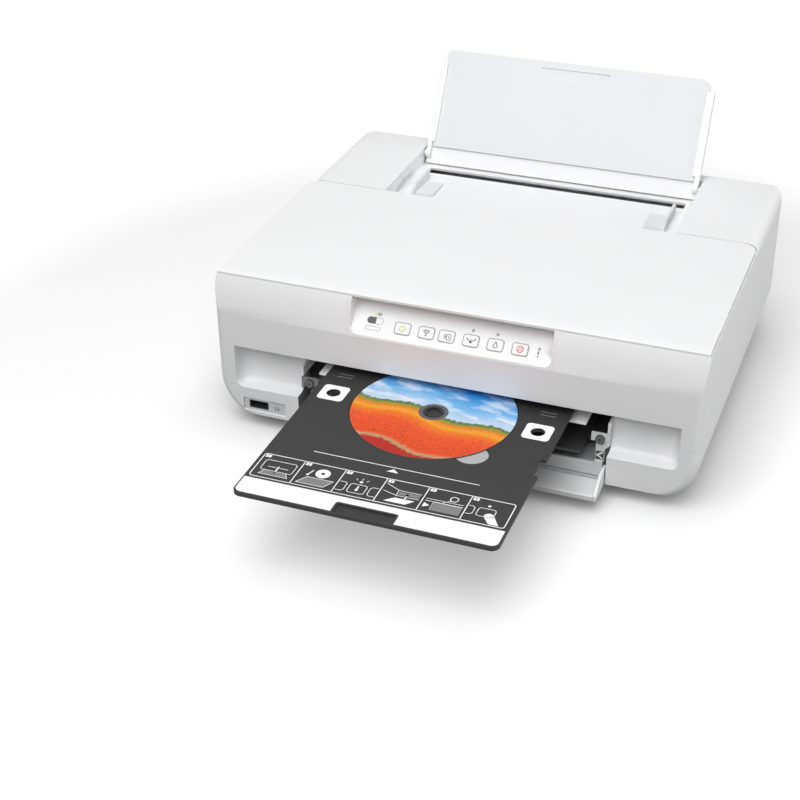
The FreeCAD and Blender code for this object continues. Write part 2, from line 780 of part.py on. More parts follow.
def make_tray_guide():
    """Right-hand rail that the disc tray runs on, with a fence along its edge."""
    top = guide_rail_top
    ledge = box(guide_rail_in, guide_rail_out, guide_rail_front, guide_rail_rear, top - 2.0, top)
    rib = box(guide_rail_in + 2, guide_rail_in + 5, guide_rail_front + 14, guide_rail_rear, top - 0.5,
              tray_top - tray_plate - gap)
    fence = box(tray_half + 0.8, tray_half + 2.6, guide_rail_front + 14, guide_rail_rear, top - 0.5, tray_top + 1.0)
    arm = box(guide_rail_out - 1, mouth_half, guide_rail_front + 20, guide_rail_front + 34, top - 2.0, top)
    hang = box(mouth_half - 2.0, mouth_half, guide_rail_front + 4, guide_rail_front + 34, top - 8.0, top)
    arm = fuse([arm, hang])
    return fuse([ledge, rib, fence, arm])


def make_bracket(leg):
    """Bracket beside the tray, flanged against the side of the opening; the right one has a leg below."""
    outline = [(bracket_arm_in, bracket_high), (bracket_arm_in, bracket_elbow)]
    if leg:
        outline += [(bracket_leg_in, bracket_elbow), (bracket_leg_in, bracket_low),
                    (bracket_leg_out, bracket_low), (bracket_leg_out, bracket_elbow - 6)]
    else:
        outline += [(bracket_leg_out, bracket_elbow)]
    outline += [(mouth_half, bracket_elbow - 3), (mouth_half, bracket_high)]
    front = front_prism(bracket_y, bracket_y + bracket_plate, outline)
    flange = box(mouth_half - bracket_plate, mouth_half, bracket_y, jamb_deep - 6, bracket_elbow - 3, bracket_high)
    bracket = fuse([front, flange])
    return bracket.cut(rod_along_y(bracket_screw_x, 0, 20, bracket_screw_z, screw_shank_r + fit))


def make_bracket_screw():
    head = rod_along_y(bracket_screw_x, bracket_y - 2.0, bracket_y, bracket_screw_z, screw_head_r)
    shank = rod_along_y(bracket_screw_x, bracket_y - 0.5, bracket_y + 7, bracket_screw_z, screw_shank_r)
    return fuse([head, shank])


def make_front_cover():
    """The low cover, let down: its floor is the cover's outside, with a lip, end walls and pivot pins."""
    y0 = cover_pivot_y - cover_reach
    low = cover_pivot_z - cover_pivot_y
    floor = box(-cover_half, cover_half, y0, cover_pivot_y - 0.6, low, low + cover_wall)
    lip = box(-cover_half, cover_half, y0, y0 + cover_wall, low, low + cover_lip)
    lip = lip.makeFillet(1.0, [e for e in lip.Edges
                               if abs(e.tangentAt(e.FirstParameter).x) > 0.9 and e.BoundBox.YMax < y0 + 0.1])
    end = side_prism(cover_half - cover_wall, cover_half, [
        (y0, low), (y0, low + cover_lip), (y0 + 3.0, low + cover_lip + 1.6), (y0 + 15.0, low + cover_ear),
        (cover_pivot_y + 2.6, low + cover_ear), (cover_pivot_y + 2.6, low + 0.8), (cover_pivot_y, low)])
    pin = rod_along_x(cover_half - 1, mouth_half + wall - 0.2, cover_pivot_y, cover_pivot_z, cover_pin_r)
    return fuse([floor, lip] + both_sides(end) + both_sides(pin))


def make_cassette():
    """Open-topped paper cassette: a raised tab at each end of its front wall, and rims for the output tray."""
    w = cassette_wall
    body = box(-cassette_half, cassette_half, cassette_front, cassette_rear, cassette_low, cassette_high)
    edges = [e for e in body.Edges
             if abs(e.tangentAt(e.FirstParameter).y) > 0.9 and e.BoundBox.ZMax < cassette_low + 0.1]
    body = body.makeFillet(3.0, edges)
    inside = box(-cassette_half + w, cassette_half - w, cassette_front + w, cassette_rear - w,
                 cassette_low + 1.8, cassette_high + 5)
    tab = box(cassette_tab_in, cassette_half, cassette_front, cassette_front + w, cassette_high - 1,
              cassette_tab_high)
    rim = box(cassette_rim_in, cassette_half, cassette_rim_front, cassette_rear - w, cassette_high - 1.6,
              cassette_high)
    return fuse([body.cut(inside)] + both_sides(tab) + both_sides(rim))


def make_stacker():
    """The dark output tray, which slides on the cassette's rims; it has a finger notch and two ribs."""
    slab = box(-stacker_half, stacker_half, stacker_front, stacker_rear, stacker_z, stacker_z + stacker_plate)
    ribs = [box(x - 1, x + 1, stacker_front + 12, stacker_rear - 12, stacker_z + 1, stacker_z + 4.6)
            for x in (-60, 60)]
    notch = post(0, stacker_front - 6, stacker_z - 1, stacker_z + 5, 16)
    runner = box(stacker_half - 1, bracket_leg_in - 1.0, cassette_rim_front + 1, stacker_rear,
                 cassette_high + gap, stacker_z + 1.0)
    return fuse([slab] + ribs + both_sides(runner)).cut(notch)


# ---------------------------------------------------------------- frame, rollers and gears

def make_chassis():
    """Sheet steel frame: two side plates on the floor, a back plate, and tabs that carry the pinch roller."""
    floor = belly_z + wall
    side = box(side_x, side_x + plate, frame_front, frame_back + plate, floor, frame_top)
    notch = box(side_x - 1, side_x + 3, frame_front + 20, frame_back - 24, floor - 1, 40)
    side = side.cut(notch)
    foot = box(side_x - 10, side_x + plate, frame_front, frame_front + 18, floor, floor + plate)
    foot_back = box(side_x - 10, side_x + plate, frame_back - 20, frame_back, floor, floor + plate)
    sides = both_sides(fuse([side, foot, foot_back]))
    roll = roller_half - 7.0
    star_end = roller_half - 13.0
    back = box(-side_x - plate, side_x + plate, frame_back, frame_back + plate, frame_low + 2.5, frame_top)
    tie = box(-side_x, side_x, frame_front, frame_front + 12, frame_low + 9, frame_low + 10.5)
    tabs = []
    for x in (-roll, roll):
        tabs.append(box(x - 1, x + 1, roller_y - 5, frame_back + 0.5, frame_low - 3.0, frame_low + 12))
    for x in (-star_end, star_end):
        tabs.append(box(x - 1, x + 1, eject_y - 5, eject_y + 4, frame_low - 1.6, frame_low + 10))
    frame = fuse(sides + [back, tie] + tabs)
    bores = [
        rod_along_x(-beyond_x, beyond_x, roller_y, roller_z, shaft_r + fit),
        rod_along_x(-beyond_x, beyond_x, eject_y, roller_z, shaft_r + fit),
        rod_along_x(-roll - 2, roll + 2, roller_y, pinch_z, 1.5 + fit),
        rod_along_x(-star_end - 2, star_end + 2, eject_y, star_z, 1.0 + fit),
        rod_along_x(-beyond_x, beyond_x, rod_y, rod_z, rod_r),
        rod_along_x(-beyond_x, 10 - side_x, (roller_y + eject_y) / 2 + idler_shift, roller_z, 2.0),
        rod_along_x(-beyond_x, 10 - side_x, *pinion_place(), 4.0),
        rod_along_y(-pulley_x, frame_back - 5, frame_back + 5, belt_z, 3.0),
        rod_along_y(pulley_x, frame_back - 5, frame_back + 5, belt_z, 1.5 + fit),
    ]
    for bore in bores:
        frame = frame.cut(bore)
    return frame


def pinion_place():
    reach = module * (feed_teeth + pinion_teeth) / 2
    a = math.radians(pinion_angle)
    return roller_y + reach * math.cos(a), roller_z + reach * math.sin(a)


idler_shift = module * ((eject_teeth + idler_teeth) - (feed_teeth + idler_teeth)) / 4


def gear(teeth, y, z, x0, x1, bore, phase):
    """A spur gear on an axis along X. phase is the angle of one tooth's middle, from +Y towards +Z."""
    r = module * teeth / 2.0
    tip = r + 0.85 * module
    root = r - 1.15 * module
    step = 2 * math.pi / teeth
    points = []
    for i in range(teeth):
        a = math.radians(phase) + i * step
        for da, rad in ((-0.36, root), (-0.13, tip), (0.13, tip), (0.36, root)):
            points.append((y + rad * math.cos(a + da * step), z + rad * math.sin(a + da * step)))
    wheel = side_prism(x0, x1, points)
    return wheel.cut(rod_along_x(x0 - 1, x1 + 1, y, z, bore))


def mesh_phase(phase, teeth, direction, other_teeth):
    """The tooth angle of a gear that meshes with another lying in the given direction from it."""
    u = ((direction - phase) * teeth / 360.0) % 1.0
    v = (0.5 - u) % 1.0
    return direction + 180.0 - v * 360.0 / other_teeth


def make_feed_roller():
    left = gear_x - 0.5
    shaft = rod_along_x(left, side_x + plate + 3, roller_y, roller_z, shaft_r)
    rubber = rod_along_x(-roller_half, roller_half, roller_y, roller_z, roller_r)
    return fuse([shaft, rubber])


def make_eject_roller():
    left = gear_x - 0.5
    shaft = rod_along_x(left, side_x + plate + 3, eject_y, roller_z, shaft_r)
    pitch = sleeve_pitch
    sleeves = [rod_along_x(i * pitch - sleeve_half, i * pitch + sleeve_half, eject_y, roller_z, roller_r)
               for i in range(-2, 3)]
    return fuse([shaft] + sleeves)


def make_pinch_roller():
    half = roller_half - 5.5
    shaft = rod_along_x(-half, half, roller_y, pinch_z, 1.5)
    places = [(i - 1.5) * pinch_pitch for i in range(4)]
    rolls = [rod_along_x(x - pinch_half, x + pinch_half, roller_y, pinch_z, pinch_r) for x in places]
    return fuse([shaft] + rolls)


def make_star_wheels():
    """Thin toothed wheels on one spindle, which hold the print down without smearing it."""
    half = roller_half - 11.5
    spindle = rod_along_x(-half, half, eject_y, star_z, 1.0)
    wheels = []
    for i in range(star_count):
        x = (i - (star_count - 1) / 2.0) * star_pitch
        points = []
        for k in range(2 * star_teeth):
            r = star_r if k % 2 == 0 else star_r - 0.9
            a = k * math.pi / star_teeth
            points.append((eject_y + r * math.cos(a), star_z + r * math.sin(a)))
        wheels.append(side_prism(x - 0.4, x + 0.4, points))
    return fuse([spindle] + wheels)


def make_platen():
    """Ribbed table under the print head."""
    ribs_each_side = int(roller_half / rib_pitch)
    slab = box(-roller_half - 4, roller_half + 4, platen_front, platen_rear, platen_top - platen_deep,
               platen_top - 1.6)
    ribs = [box(x - 0.8, x + 0.8, platen_front + 4, platen_rear - 4, platen_top - 2, platen_top)
            for x in (i * rib_pitch for i in range(-ribs_each_side, ribs_each_side + 1))]
    arms = [box(s * (side_x + roller_half) / 2 - (side_x - roller_half) / 2,
                s * (side_x + roller_half) / 2 + (side_x - roller_half) / 2,
                platen_rear - 10, platen_rear, platen_top - platen_deep, platen_top - 2.6)
            for s in (-1, 1)]
    return fuse([slab] + ribs + arms)


# ---------------------------------------------------------------- print carriage

def carriage_box(x):
    return x - carriage_w / 2, x + carriage_w / 2


def make_carriage():
    """The cartridge holder: an open box with divider ribs, a bearing on the rod and a clamp for the belt."""
    x0, x1 = carriage_box(carriage_home)
    w = carriage_wall
    body = box(x0, x1, carriage_front, carriage_rear, carriage_low, carriage_high)
    inside = box(x0 + w, x1 - w, carriage_front + w, carriage_rear - w, carriage_low + w, carriage_high + 20)
    body = body.cut(inside)
    front_dip = box(x0 + 10, x1 - 10, carriage_front - 1, carriage_front + w + 1, carriage_high - 8,
                    carriage_high + 1)
    body = body.cut(front_dip)
    bearing = box(x0 + 4, x1 - 4, carriage_rear - 1, rod_y + 7.0, rod_z - 7.5, rod_z + 7.0)
    clamp = box(carriage_home - 10, carriage_home + 10, rod_y + 6.0, belt_y + belt_w + 0.8,
                belt_z - pulley_r - belt_t - 2.6, belt_z - pulley_r + 2.2)
    slot = box(carriage_home - 11, carriage_home + 11, belt_y - gap, belt_y + belt_w + gap + 5,
               belt_z - pulley_r - belt_t - gap, belt_z - pulley_r + gap)
    dividers = []
    for i in range(1, cartridge_count):
        x = carriage_home + (i - cartridge_count / 2.0) * cartridge_pitch
        dividers.append(box(x - 0.5, x + 0.5, carriage_front + 1, carriage_rear - 1, carriage_low + 1,
                            carriage_low + 14))
    whole = fuse([body, bearing, clamp.cut(slot)] + dividers)
    return whole.cut(rod_along_x(x0 - 5, x1 + 5, rod_y, rod_z, rod_r + fit))


def make_print_head():
    x0, x1 = carriage_box(carriage_home)
    head = box(x0 + 14, x1 - 14, head_front, head_rear, head_low, carriage_low)
    nozzles = [box(x0 + 20 + i * 9, x0 + 21.5 + i * 9, head_front + 4, head_rear - 4, head_low - 1,
                   head_low + 0.3) for i in range(7)]
    return head.cut(Part.makeCompound(nozzles))


def make_cartridge(i):
    """One ink cartridge: a narrow box with a sloping shoulder and a catch."""
    x = carriage_home + (i - (cartridge_count - 1) / 2.0) * cartridge_pitch
    y0 = carriage_front + carriage_wall + 1.0
    y1 = y0 + cartridge_long
    z0 = carriage_low + carriage_wall + 0.2
    z1 = z0 + cartridge_high
    outline = [(y0, z0), (y1, z0), (y1, z1 - 6), (y1 - 5, z1), (y0 + 10, z1), (y0, z1 - 4)]
    body = side_prism(x - cartridge_w / 2, x + cartridge_w / 2, outline)
    catch = box(x - 3, x + 3, y0 + 14, y0 + 26, z1 - 0.5, z1 + 1.2)
    return fuse([body, catch])


def make_belt():
    """Timing belt: two straight runs joined round the pulleys."""
    outer = fuse([
        box(-pulley_x, pulley_x, belt_y, belt_y + belt_w, belt_z - pulley_r - belt_t, belt_z + pulley_r + belt_t),
        rod_along_y(-pulley_x, belt_y, belt_y + belt_w, belt_z, pulley_r + belt_t),
        rod_along_y(pulley_x, belt_y, belt_y + belt_w, belt_z, pulley_r + belt_t)])
    inner = fuse([
        box(-pulley_x, pulley_x, belt_y - 1, belt_y + belt_w + 1, belt_z - pulley_r, belt_z + pulley_r),
        rod_along_y(-pulley_x, belt_y - 1, belt_y + belt_w + 1, belt_z, pulley_r),
        rod_along_y(pulley_x, belt_y - 1, belt_y + belt_w + 1, belt_z, pulley_r)])
    return outer.cut(inner)


def make_pulley(x, shaft_end, shaft):
    """A belt pulley with its spindle, which turns in the motor or in the frame."""
    body = rod_along_y(x, belt_y - 0.4, belt_y + belt_w + 0.4, belt_z, pulley_r - fit)
    spindle = rod_along_y(x, belt_y - 1.0, shaft_end, belt_z, shaft)
    return fuse([body, spindle])


# ---------------------------------------------------------------- electrics and fixed units

def make_carriage_motor():
    y0 = frame_back + plate
    can = rod_along_y(-pulley_x, y0, y0 + 30, belt_z, motor_r)
    can = can.common(box(-pulley_x - motor_r, -pulley_x + motor_r, y0 - 1, y0 + 40,
                         belt_z - motor_flat, belt_z + motor_flat))
    return can.cut(rod_along_y(-pulley_x, y0 - 1, y0 + 9, belt_z, 1.5 + fit))


def make_feed_motor():
    y, z = pinion_place()
    x1 = -side_x
    can = rod_along_x(x1, x1 + 30, y, z, motor_r)
    return can.cut(rod_along_x(x1 - 1, x1 + 9, y, z, 1.5 + fit))


def make_encoder_strip():
    return box(-side_x, side_x, rod_y - 5.2, rod_y - 4.6, rod_z + 9.5, rod_z + 17.0)


def make_cap_station():
    """Maintenance unit under the parked head: tub, raised cap with a soft lip, and wiper blade."""
    floor = belly_z + wall
    shelf_low = platen_top - platen_deep - 3.6
    shelf_top = shelf_low + 3.0
    cap_in = roller_half + 11.0
    tub = box(cap_in + 6, side_x - 0.5, carriage_front + 6, carriage_rear - 10, floor, shelf_low)
    tub = tub.cut(box(cap_in + 8.5, side_x - 3, carriage_front + 8.5, carriage_rear - 12.5, floor + 16.4,
                      shelf_low + 8))
    shelf = box(cap_in - 2, side_x - 0.5, carriage_front + 10, carriage_rear - 14, shelf_low, shelf_top)
    cap = box(cap_in, side_x - 14, head_front, head_rear, shelf_top, head_low - gap - 0.3)
    cap = cap.cut(box(cap_in + 2, side_x - 16, head_front + 2, head_rear - 2, shelf_top + 5, head_low + 5))
    wiper = box(side_x - 12, side_x - 10.8, head_front + 2, head_rear - 6, shelf_low + 2, head_low - gap)
    return fuse([tub, shelf, cap, wiper])


def make_power_supply():
    floor = belly_z + wall
    return plan_slab(-supply_out, supply_wide - supply_out, supply_front, body_rear - 20, floor, supply_top, 3.0)


def make_main_board():
    """The board on its posts, with a processor, a heat sink and a connector block."""
    top = belly_z + wall + 7.5
    x0 = board_out - board_wide
    y1 = body_rear - 22
    y0 = y1 - board_long
    board = box(x0, board_out, y0, y1, top - 1.5, top + 0.1)
    posts = [post(x, y, top - 7.5, top - 1.3, 2.5) for x in (x0 + 4, board_out - 4) for y in (y0 + 6, y1 - 8)]
    parts = [(6, 24, 24, 42, 2.0), (28, 37, 28, 60, 5.5), (6, 22, 64, 78, 3.5)]
    chips = [box(x0 + a, x0 + b, y0 + c, y0 + d, top, top + high) for a, b, c, d, high in parts]
    return fuse([board] + posts + chips)


def make_ac_inlet():
    """Two-pin mains inlet in the back wall."""
    c = 0.2
    y1 = body_rear - 0.2
    block = box(inlet_x - inlet_w / 2 + c, inlet_x + inlet_w / 2 - c, y1 - 16, y1,
                inlet_z - inlet_h / 2 + c, inlet_z + inlet_h / 2 - c)
    mouth = box(inlet_x - 5, inlet_x + 5, y1 - 11, y1 + 1, inlet_z - 3.3, inlet_z + 3.3)
    for s in (-1, 1):
        mouth = mouth.fuse(rod_along_y(inlet_x + s * 4.3, y1 - 11, y1 + 1, inlet_z, 3.3))
    block = block.cut(mouth)
    flange = box(inlet_x - inlet_w / 2 - 2, inlet_x + inlet_w / 2 + 2, body_rear - wall - 2.0,
                 body_rear - wall, inlet_z - inlet_h / 2 - 2, inlet_z + inlet_h / 2 + 2)
    block = fuse([block, flange.cut(mouth)])
    pins = [rod_along_y(inlet_x + s * 4.3, y1 - 12, y1 - 2.5, inlet_z, 1.2) for s in (-1, 1)]
    return fuse([block] + pins)


def make_data_port():
    c = 0.2
    y1 = body_rear - 0.2
    block = box(data_x - data_w / 2 + c, data_x + data_w / 2 - c, y1 - 15, y1,
                data_z - data_h / 2 + c, data_z + data_h / 2 - c)
    mouth = box(data_x - 4.3, data_x + 4.3, y1 - 12, y1 + 1, data_z - 4.0, data_z + 4.0)
    tongue = box(data_x - 2.8, data_x + 2.8, y1 - 12.5, y1 - 4.5, data_z - 1.6, data_z + 1.6)
    flange = box(data_x - data_w / 2 - 2, data_x + data_w / 2 + 2, body_rear - wall - 1.5, body_rear - wall,
                 data_z - data_h / 2 - 2, data_z + data_h / 2 + 2)
    return fuse([fuse([block, flange]).cut(mouth), tongue])


def make_feet():
    return [post(x, y, 0, foot_high, foot_r) for x in (-foot_x, foot_x) for y in foot_ys]


# ---------------------------------------------------------------- all the pieces

pieces["lower_shell"] = make_lower_shell()
pieces["upper_shell"] = make_upper_shell()
pieces["rear_door"] = make_rear_door()
pieces["key_panel"] = make_key_panel()
for name, x in zip(key_names, key_places()):
    pieces[name] = make_key(x)
pieces["status_lamps"] = Part.makeCompound(lamp_blocks(0))
pieces["usb_plate"] = make_usb_plate()
pieces["usb_socket"] = make_usb_socket()
pieces["rubber_feet"] = Part.makeCompound(make_feet())
pieces["top_lid"] = make_lid()
pieces["paper_support"] = make_paper_support()
pieces["support_leaf"] = make_support_leaf()
pieces["side_guide_right"] = make_side_guide(1)
pieces["side_guide_left"] = make_side_guide(-1)
pieces["disc_tray"] = make_disc_tray()
pieces["disc"] = make_disc()
pieces["tray_guide_right"] = make_tray_guide()
pieces["tray_guide_left"] = mirrored(make_tray_guide())
pieces["bracket_right"] = make_bracket(True)
pieces["bracket_left"] = mirrored(make_bracket(False))
pieces["bracket_screws"] = Part.makeCompound(both_sides(make_bracket_screw()))
pieces["front_cover"] = make_front_cover()
pieces["paper_cassette"] = make_cassette()
pieces["output_tray"] = make_stacker()
pieces["chassis"] = make_chassis()
pieces["carriage_rod"] = rod_along_x(-side_x - plate, side_x + plate, rod_y, rod_z, rod_r)
pieces["platen"] = make_platen()
pieces["feed_roller"] = make_feed_roller()
pieces["eject_roller"] = make_eject_roller()
pieces["pinch_roller"] = make_pinch_roller()
pieces["star_wheels"] = make_star_wheels()

feed_phase = 0.0
idler_y = roller_y - module * (feed_teeth + idler_teeth) / 2
idler_phase = mesh_phase(feed_phase, feed_teeth, 180.0, idler_teeth)
eject_phase = mesh_phase(idler_phase, idler_teeth, 180.0, eject_teeth)
pinion_phase = mesh_phase(feed_phase, feed_teeth, pinion_angle, pinion_teeth)
pinion_y, pinion_z = pinion_place()
pieces["feed_gear"] = gear(feed_teeth, roller_y, roller_z, gear_x, gear_x + gear_w, shaft_r, feed_phase)
pieces["eject_gear"] = gear(eject_teeth, eject_y, roller_z, gear_x, gear_x + gear_w, shaft_r, eject_phase)
pieces["idler_gear"] = fuse([
    gear(idler_teeth, idler_y, roller_z, gear_x, gear_x + gear_w, 1.0, idler_phase),
    rod_along_x(gear_x, -side_x + 1.5, idler_y, roller_z, 2.0 - fit)])
pieces["motor_pinion"] = fuse([
    gear(pinion_teeth, pinion_y, pinion_z, gear_x, gear_x + gear_w, 0.5, pinion_phase),
    rod_along_x(gear_x, -side_x + 7, pinion_y, pinion_z, 1.5)])
pieces["feed_motor"] = make_feed_motor()
pieces["carriage"] = make_carriage()
pieces["print_head"] = make_print_head()
for i in range(cartridge_count):
    pieces[f"ink_cartridge_{i + 1}"] = make_cartridge(i)
pieces["timing_belt"] = make_belt()
pieces["motor_pulley"] = make_pulley(-pulley_x, frame_back + plate + 7, 1.5)
pieces["idler_pulley"] = make_pulley(pulley_x, frame_back + plate + 1.8, 1.5)
pieces["carriage_motor"] = make_carriage_motor()
pieces["encoder_strip"] = make_encoder_strip()
pieces["cap_station"] = make_cap_station()
pieces["power_supply"] = make_power_supply()
pieces["main_board"] = make_main_board()
pieces["ac_inlet"] = make_ac_inlet()
pieces["data_port"] = make_data_port()

whole = Part.makeCompound(list(pieces.values())).optimalBoundingBox(False)
to_origin = Vector(0, -(whole.YMin + whole.YMax) / 2, 0)
for name, shape in pieces.items():
    placed = shape.copy()
    placed.translate(to_origin)
    placed.exportStep(f"parts/{name}.step")
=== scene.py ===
import math

import bmesh
import bpy
from mathutils import Matrix, Vector
from mathutils.bvhtree import BVHTree


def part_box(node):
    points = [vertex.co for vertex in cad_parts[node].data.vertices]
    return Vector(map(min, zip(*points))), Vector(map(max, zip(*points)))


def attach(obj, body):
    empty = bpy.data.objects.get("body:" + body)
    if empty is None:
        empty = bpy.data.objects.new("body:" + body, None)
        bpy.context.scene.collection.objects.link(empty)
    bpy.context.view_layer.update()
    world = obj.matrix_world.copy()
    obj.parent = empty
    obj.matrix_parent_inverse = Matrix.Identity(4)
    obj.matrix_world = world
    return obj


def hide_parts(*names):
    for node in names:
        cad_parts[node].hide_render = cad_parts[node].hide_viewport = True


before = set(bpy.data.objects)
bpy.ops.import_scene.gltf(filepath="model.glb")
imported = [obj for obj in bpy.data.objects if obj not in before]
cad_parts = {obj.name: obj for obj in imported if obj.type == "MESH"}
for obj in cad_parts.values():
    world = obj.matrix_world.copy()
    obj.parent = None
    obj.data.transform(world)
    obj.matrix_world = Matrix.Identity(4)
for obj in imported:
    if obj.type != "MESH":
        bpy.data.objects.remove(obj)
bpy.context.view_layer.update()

mm = 0.001
front_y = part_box("lower_shell")[0][1]      # plane of the machine's front face


# ---- Casing: lower shell with the legs, upper shell with fascia, brow and rear deck, and the rear door.
# Injection moulded in white ABS with a fine spark-eroded grain. The upper shell drops on to the lower one and
# a thin seam runs round the sides where they meet.

casing_white = (0.84, 0.842, 0.85)
casing_edge = 0.4 * mm
fine_grain = 2600.0      # grains and mottles per metre
broad_mottle = 14.0
grain_deep = 0.05 * mm
rough_drift = 0.05


def grain_group():
    """Fine moulding grain and a broad, faint mottle, both over the piece's own coordinates."""
    tree = bpy.data.node_groups.new("moulding_grain", "ShaderNodeTree")
    for name, value in (("Grain per metre", fine_grain), ("Mottle per metre", broad_mottle)):
        socket = tree.interface.new_socket(name=name, in_out="INPUT", socket_type="NodeSocketFloat")
        socket.default_value = value
    for name in ("Height", "Mottle"):
        tree.interface.new_socket(name=name, in_out="OUTPUT", socket_type="NodeSocketFloat")
    nodes, links = tree.nodes, tree.links
    given = nodes.new("NodeGroupInput")
    result = nodes.new("NodeGroupOutput")
    place = nodes.new("ShaderNodeTexCoord")
    for name, output, detail in (("Grain per metre", "Height", 1.0), ("Mottle per metre", "Mottle", 3.0)):
        noise = nodes.new("ShaderNodeTexNoise")
        noise.inputs["Detail"].default_value = detail
        links.new(place.outputs["Object"], noise.inputs["Vector"])
        links.new(given.outputs[name], noise.inputs["Scale"])
        links.new(noise.outputs["Fac"], result.inputs[output])
    return tree


moulding_grain = grain_group()


def plastic(name, colour, rough, grain=0.06, mottle=0.025, metallic=0.0):
    """A moulded or painted surface: colour and roughness drift a little, and fine grain breaks the gloss."""
    material = bpy.data.materials.new(name)
    material.use_nodes = True
    nodes, links = material.node_tree.nodes, material.node_tree.links
    shader = nodes["Principled BSDF"]
    shader.inputs["Metallic"].default_value = metallic
    effect = nodes.new("ShaderNodeGroup")
    effect.node_tree = moulding_grain
    effect.inputs["Grain per metre"].default_value = fine_grain
    tint = nodes.new("ShaderNodeMix")
    tint.name = "tint"
    tint.data_type = "RGBA"
    tint.inputs["A"].default_value = [c * (1 - mottle) for c in colour] + [1.0]
    tint.inputs["B"].default_value = [c * (1 + mottle) for c in colour] + [1.0]
    links.new(effect.outputs["Mottle"], tint.inputs["Factor"])
    links.new(tint.outputs["Result"], shader.inputs["Base Color"])
    sheen = nodes.new("ShaderNodeMapRange")
    sheen.inputs["To Min"].default_value = rough - rough_drift
    sheen.inputs["To Max"].default_value = rough + rough_drift
    links.new(effect.outputs["Height"], sheen.inputs["Value"])
    links.new(sheen.outputs["Result"], shader.inputs["Roughness"])
    bump = nodes.new("ShaderNodeBump")
    bump.inputs["Strength"].default_value = grain
    bump.inputs["Distance"].default_value = grain_deep
    links.new(effect.outputs["Height"], bump.inputs["Height"])
    links.new(bump.outputs["Normal"], shader.inputs["Normal"])
    return material


def made_plain(piece):
    """The piece's mesh with its modifiers worked into it."""
    graph = bpy.context.evaluated_depsgraph_get()
    return bpy.data.meshes.new_from_object(piece.evaluated_get(graph))


def space(across, back, up):
    """Two corners from ranges in mm: across the machine, back from its front face, up from the table."""
    return tuple((x * mm, front_y + y * mm, z * mm) for x, y, z in zip(across, back, up))


def within(point, corners):
    """Whether a point lies between two corners."""
    return all(low <= value <= high for value, low, high in zip(point, *corners))


def block(low, high):
    """A plain block between two corners as a mesh."""
    work = bmesh.new()
    size = [b - a for a, b in zip(low, high)]
    middle = [(a + b) / 2 for a, b in zip(low, high)]
    bmesh.ops.create_cube(work, size=1.0, matrix=Matrix.Translation(middle) @ Matrix.Diagonal(size + [1.0]))
    mesh = bpy.data.meshes.new("block")
    work.to_mesh(mesh)
    work.free()
    return mesh


def cut_away(mesh, low, high):
    """A mesh less a block between two corners."""
    whole = bpy.data.objects.new("whole", mesh)
    tool = bpy.data.objects.new("tool", block(low, high))
    for piece in (whole, tool):
        bpy.context.collection.objects.link(piece)
    cut = whole.modifiers.new("cut", "BOOLEAN")
    cut.object = tool
    rest = made_plain(whole)
    for piece in (whole, tool):
        bpy.data.objects.remove(piece)
    return rest


def held_to(shape, mesh, reach):
    """Brings a bevel's stray points back on to a shape.

    Those are the points that stand off it by more than reach, or outside its greatest measures.
    """
    near_shape = BVHTree.FromPolygons([point.co for point in shape.vertices],
                                      [face.vertices for face in shape.polygons])
    low = [min(point.co[axis] for point in shape.vertices) for axis in range(3)]
    high = [max(point.co[axis] for point in shape.vertices) for axis in range(3)]
    for point in mesh.vertices:
        spot, _, _, away = near_shape.find_nearest(point.co)
        if away > reach or not within(point.co, (low, high)):
            point.co = spot


broad_face = 3 * mm
long_fold = 20 * mm
shallowest_fold = math.radians(10)


def keep_folds(mesh):
    """Marks the long folds between two broad faces as sharp, however shallow they are."""
    work = bmesh.new()
    work.from_mesh(mesh)
    for line in work.edges:
        long = line.calc_length()
        broad = all(face.calc_area() > broad_face * long for face in line.link_faces)
        if long > long_fold and broad and line.calc_face_angle(0.0) > shallowest_fold:
            line.smooth = False
    work.to_mesh(mesh)
    work.free()


merge_within = 0.002 * mm
level_within = math.radians(0.5)
corner_from = math.radians(35)      # an edge bent more than this is a corner and is eased
crease_from = math.radians(28)
facing_front = -0.5                 # of a normal's share along y
stray_share = 1.2                   # of the easing radius


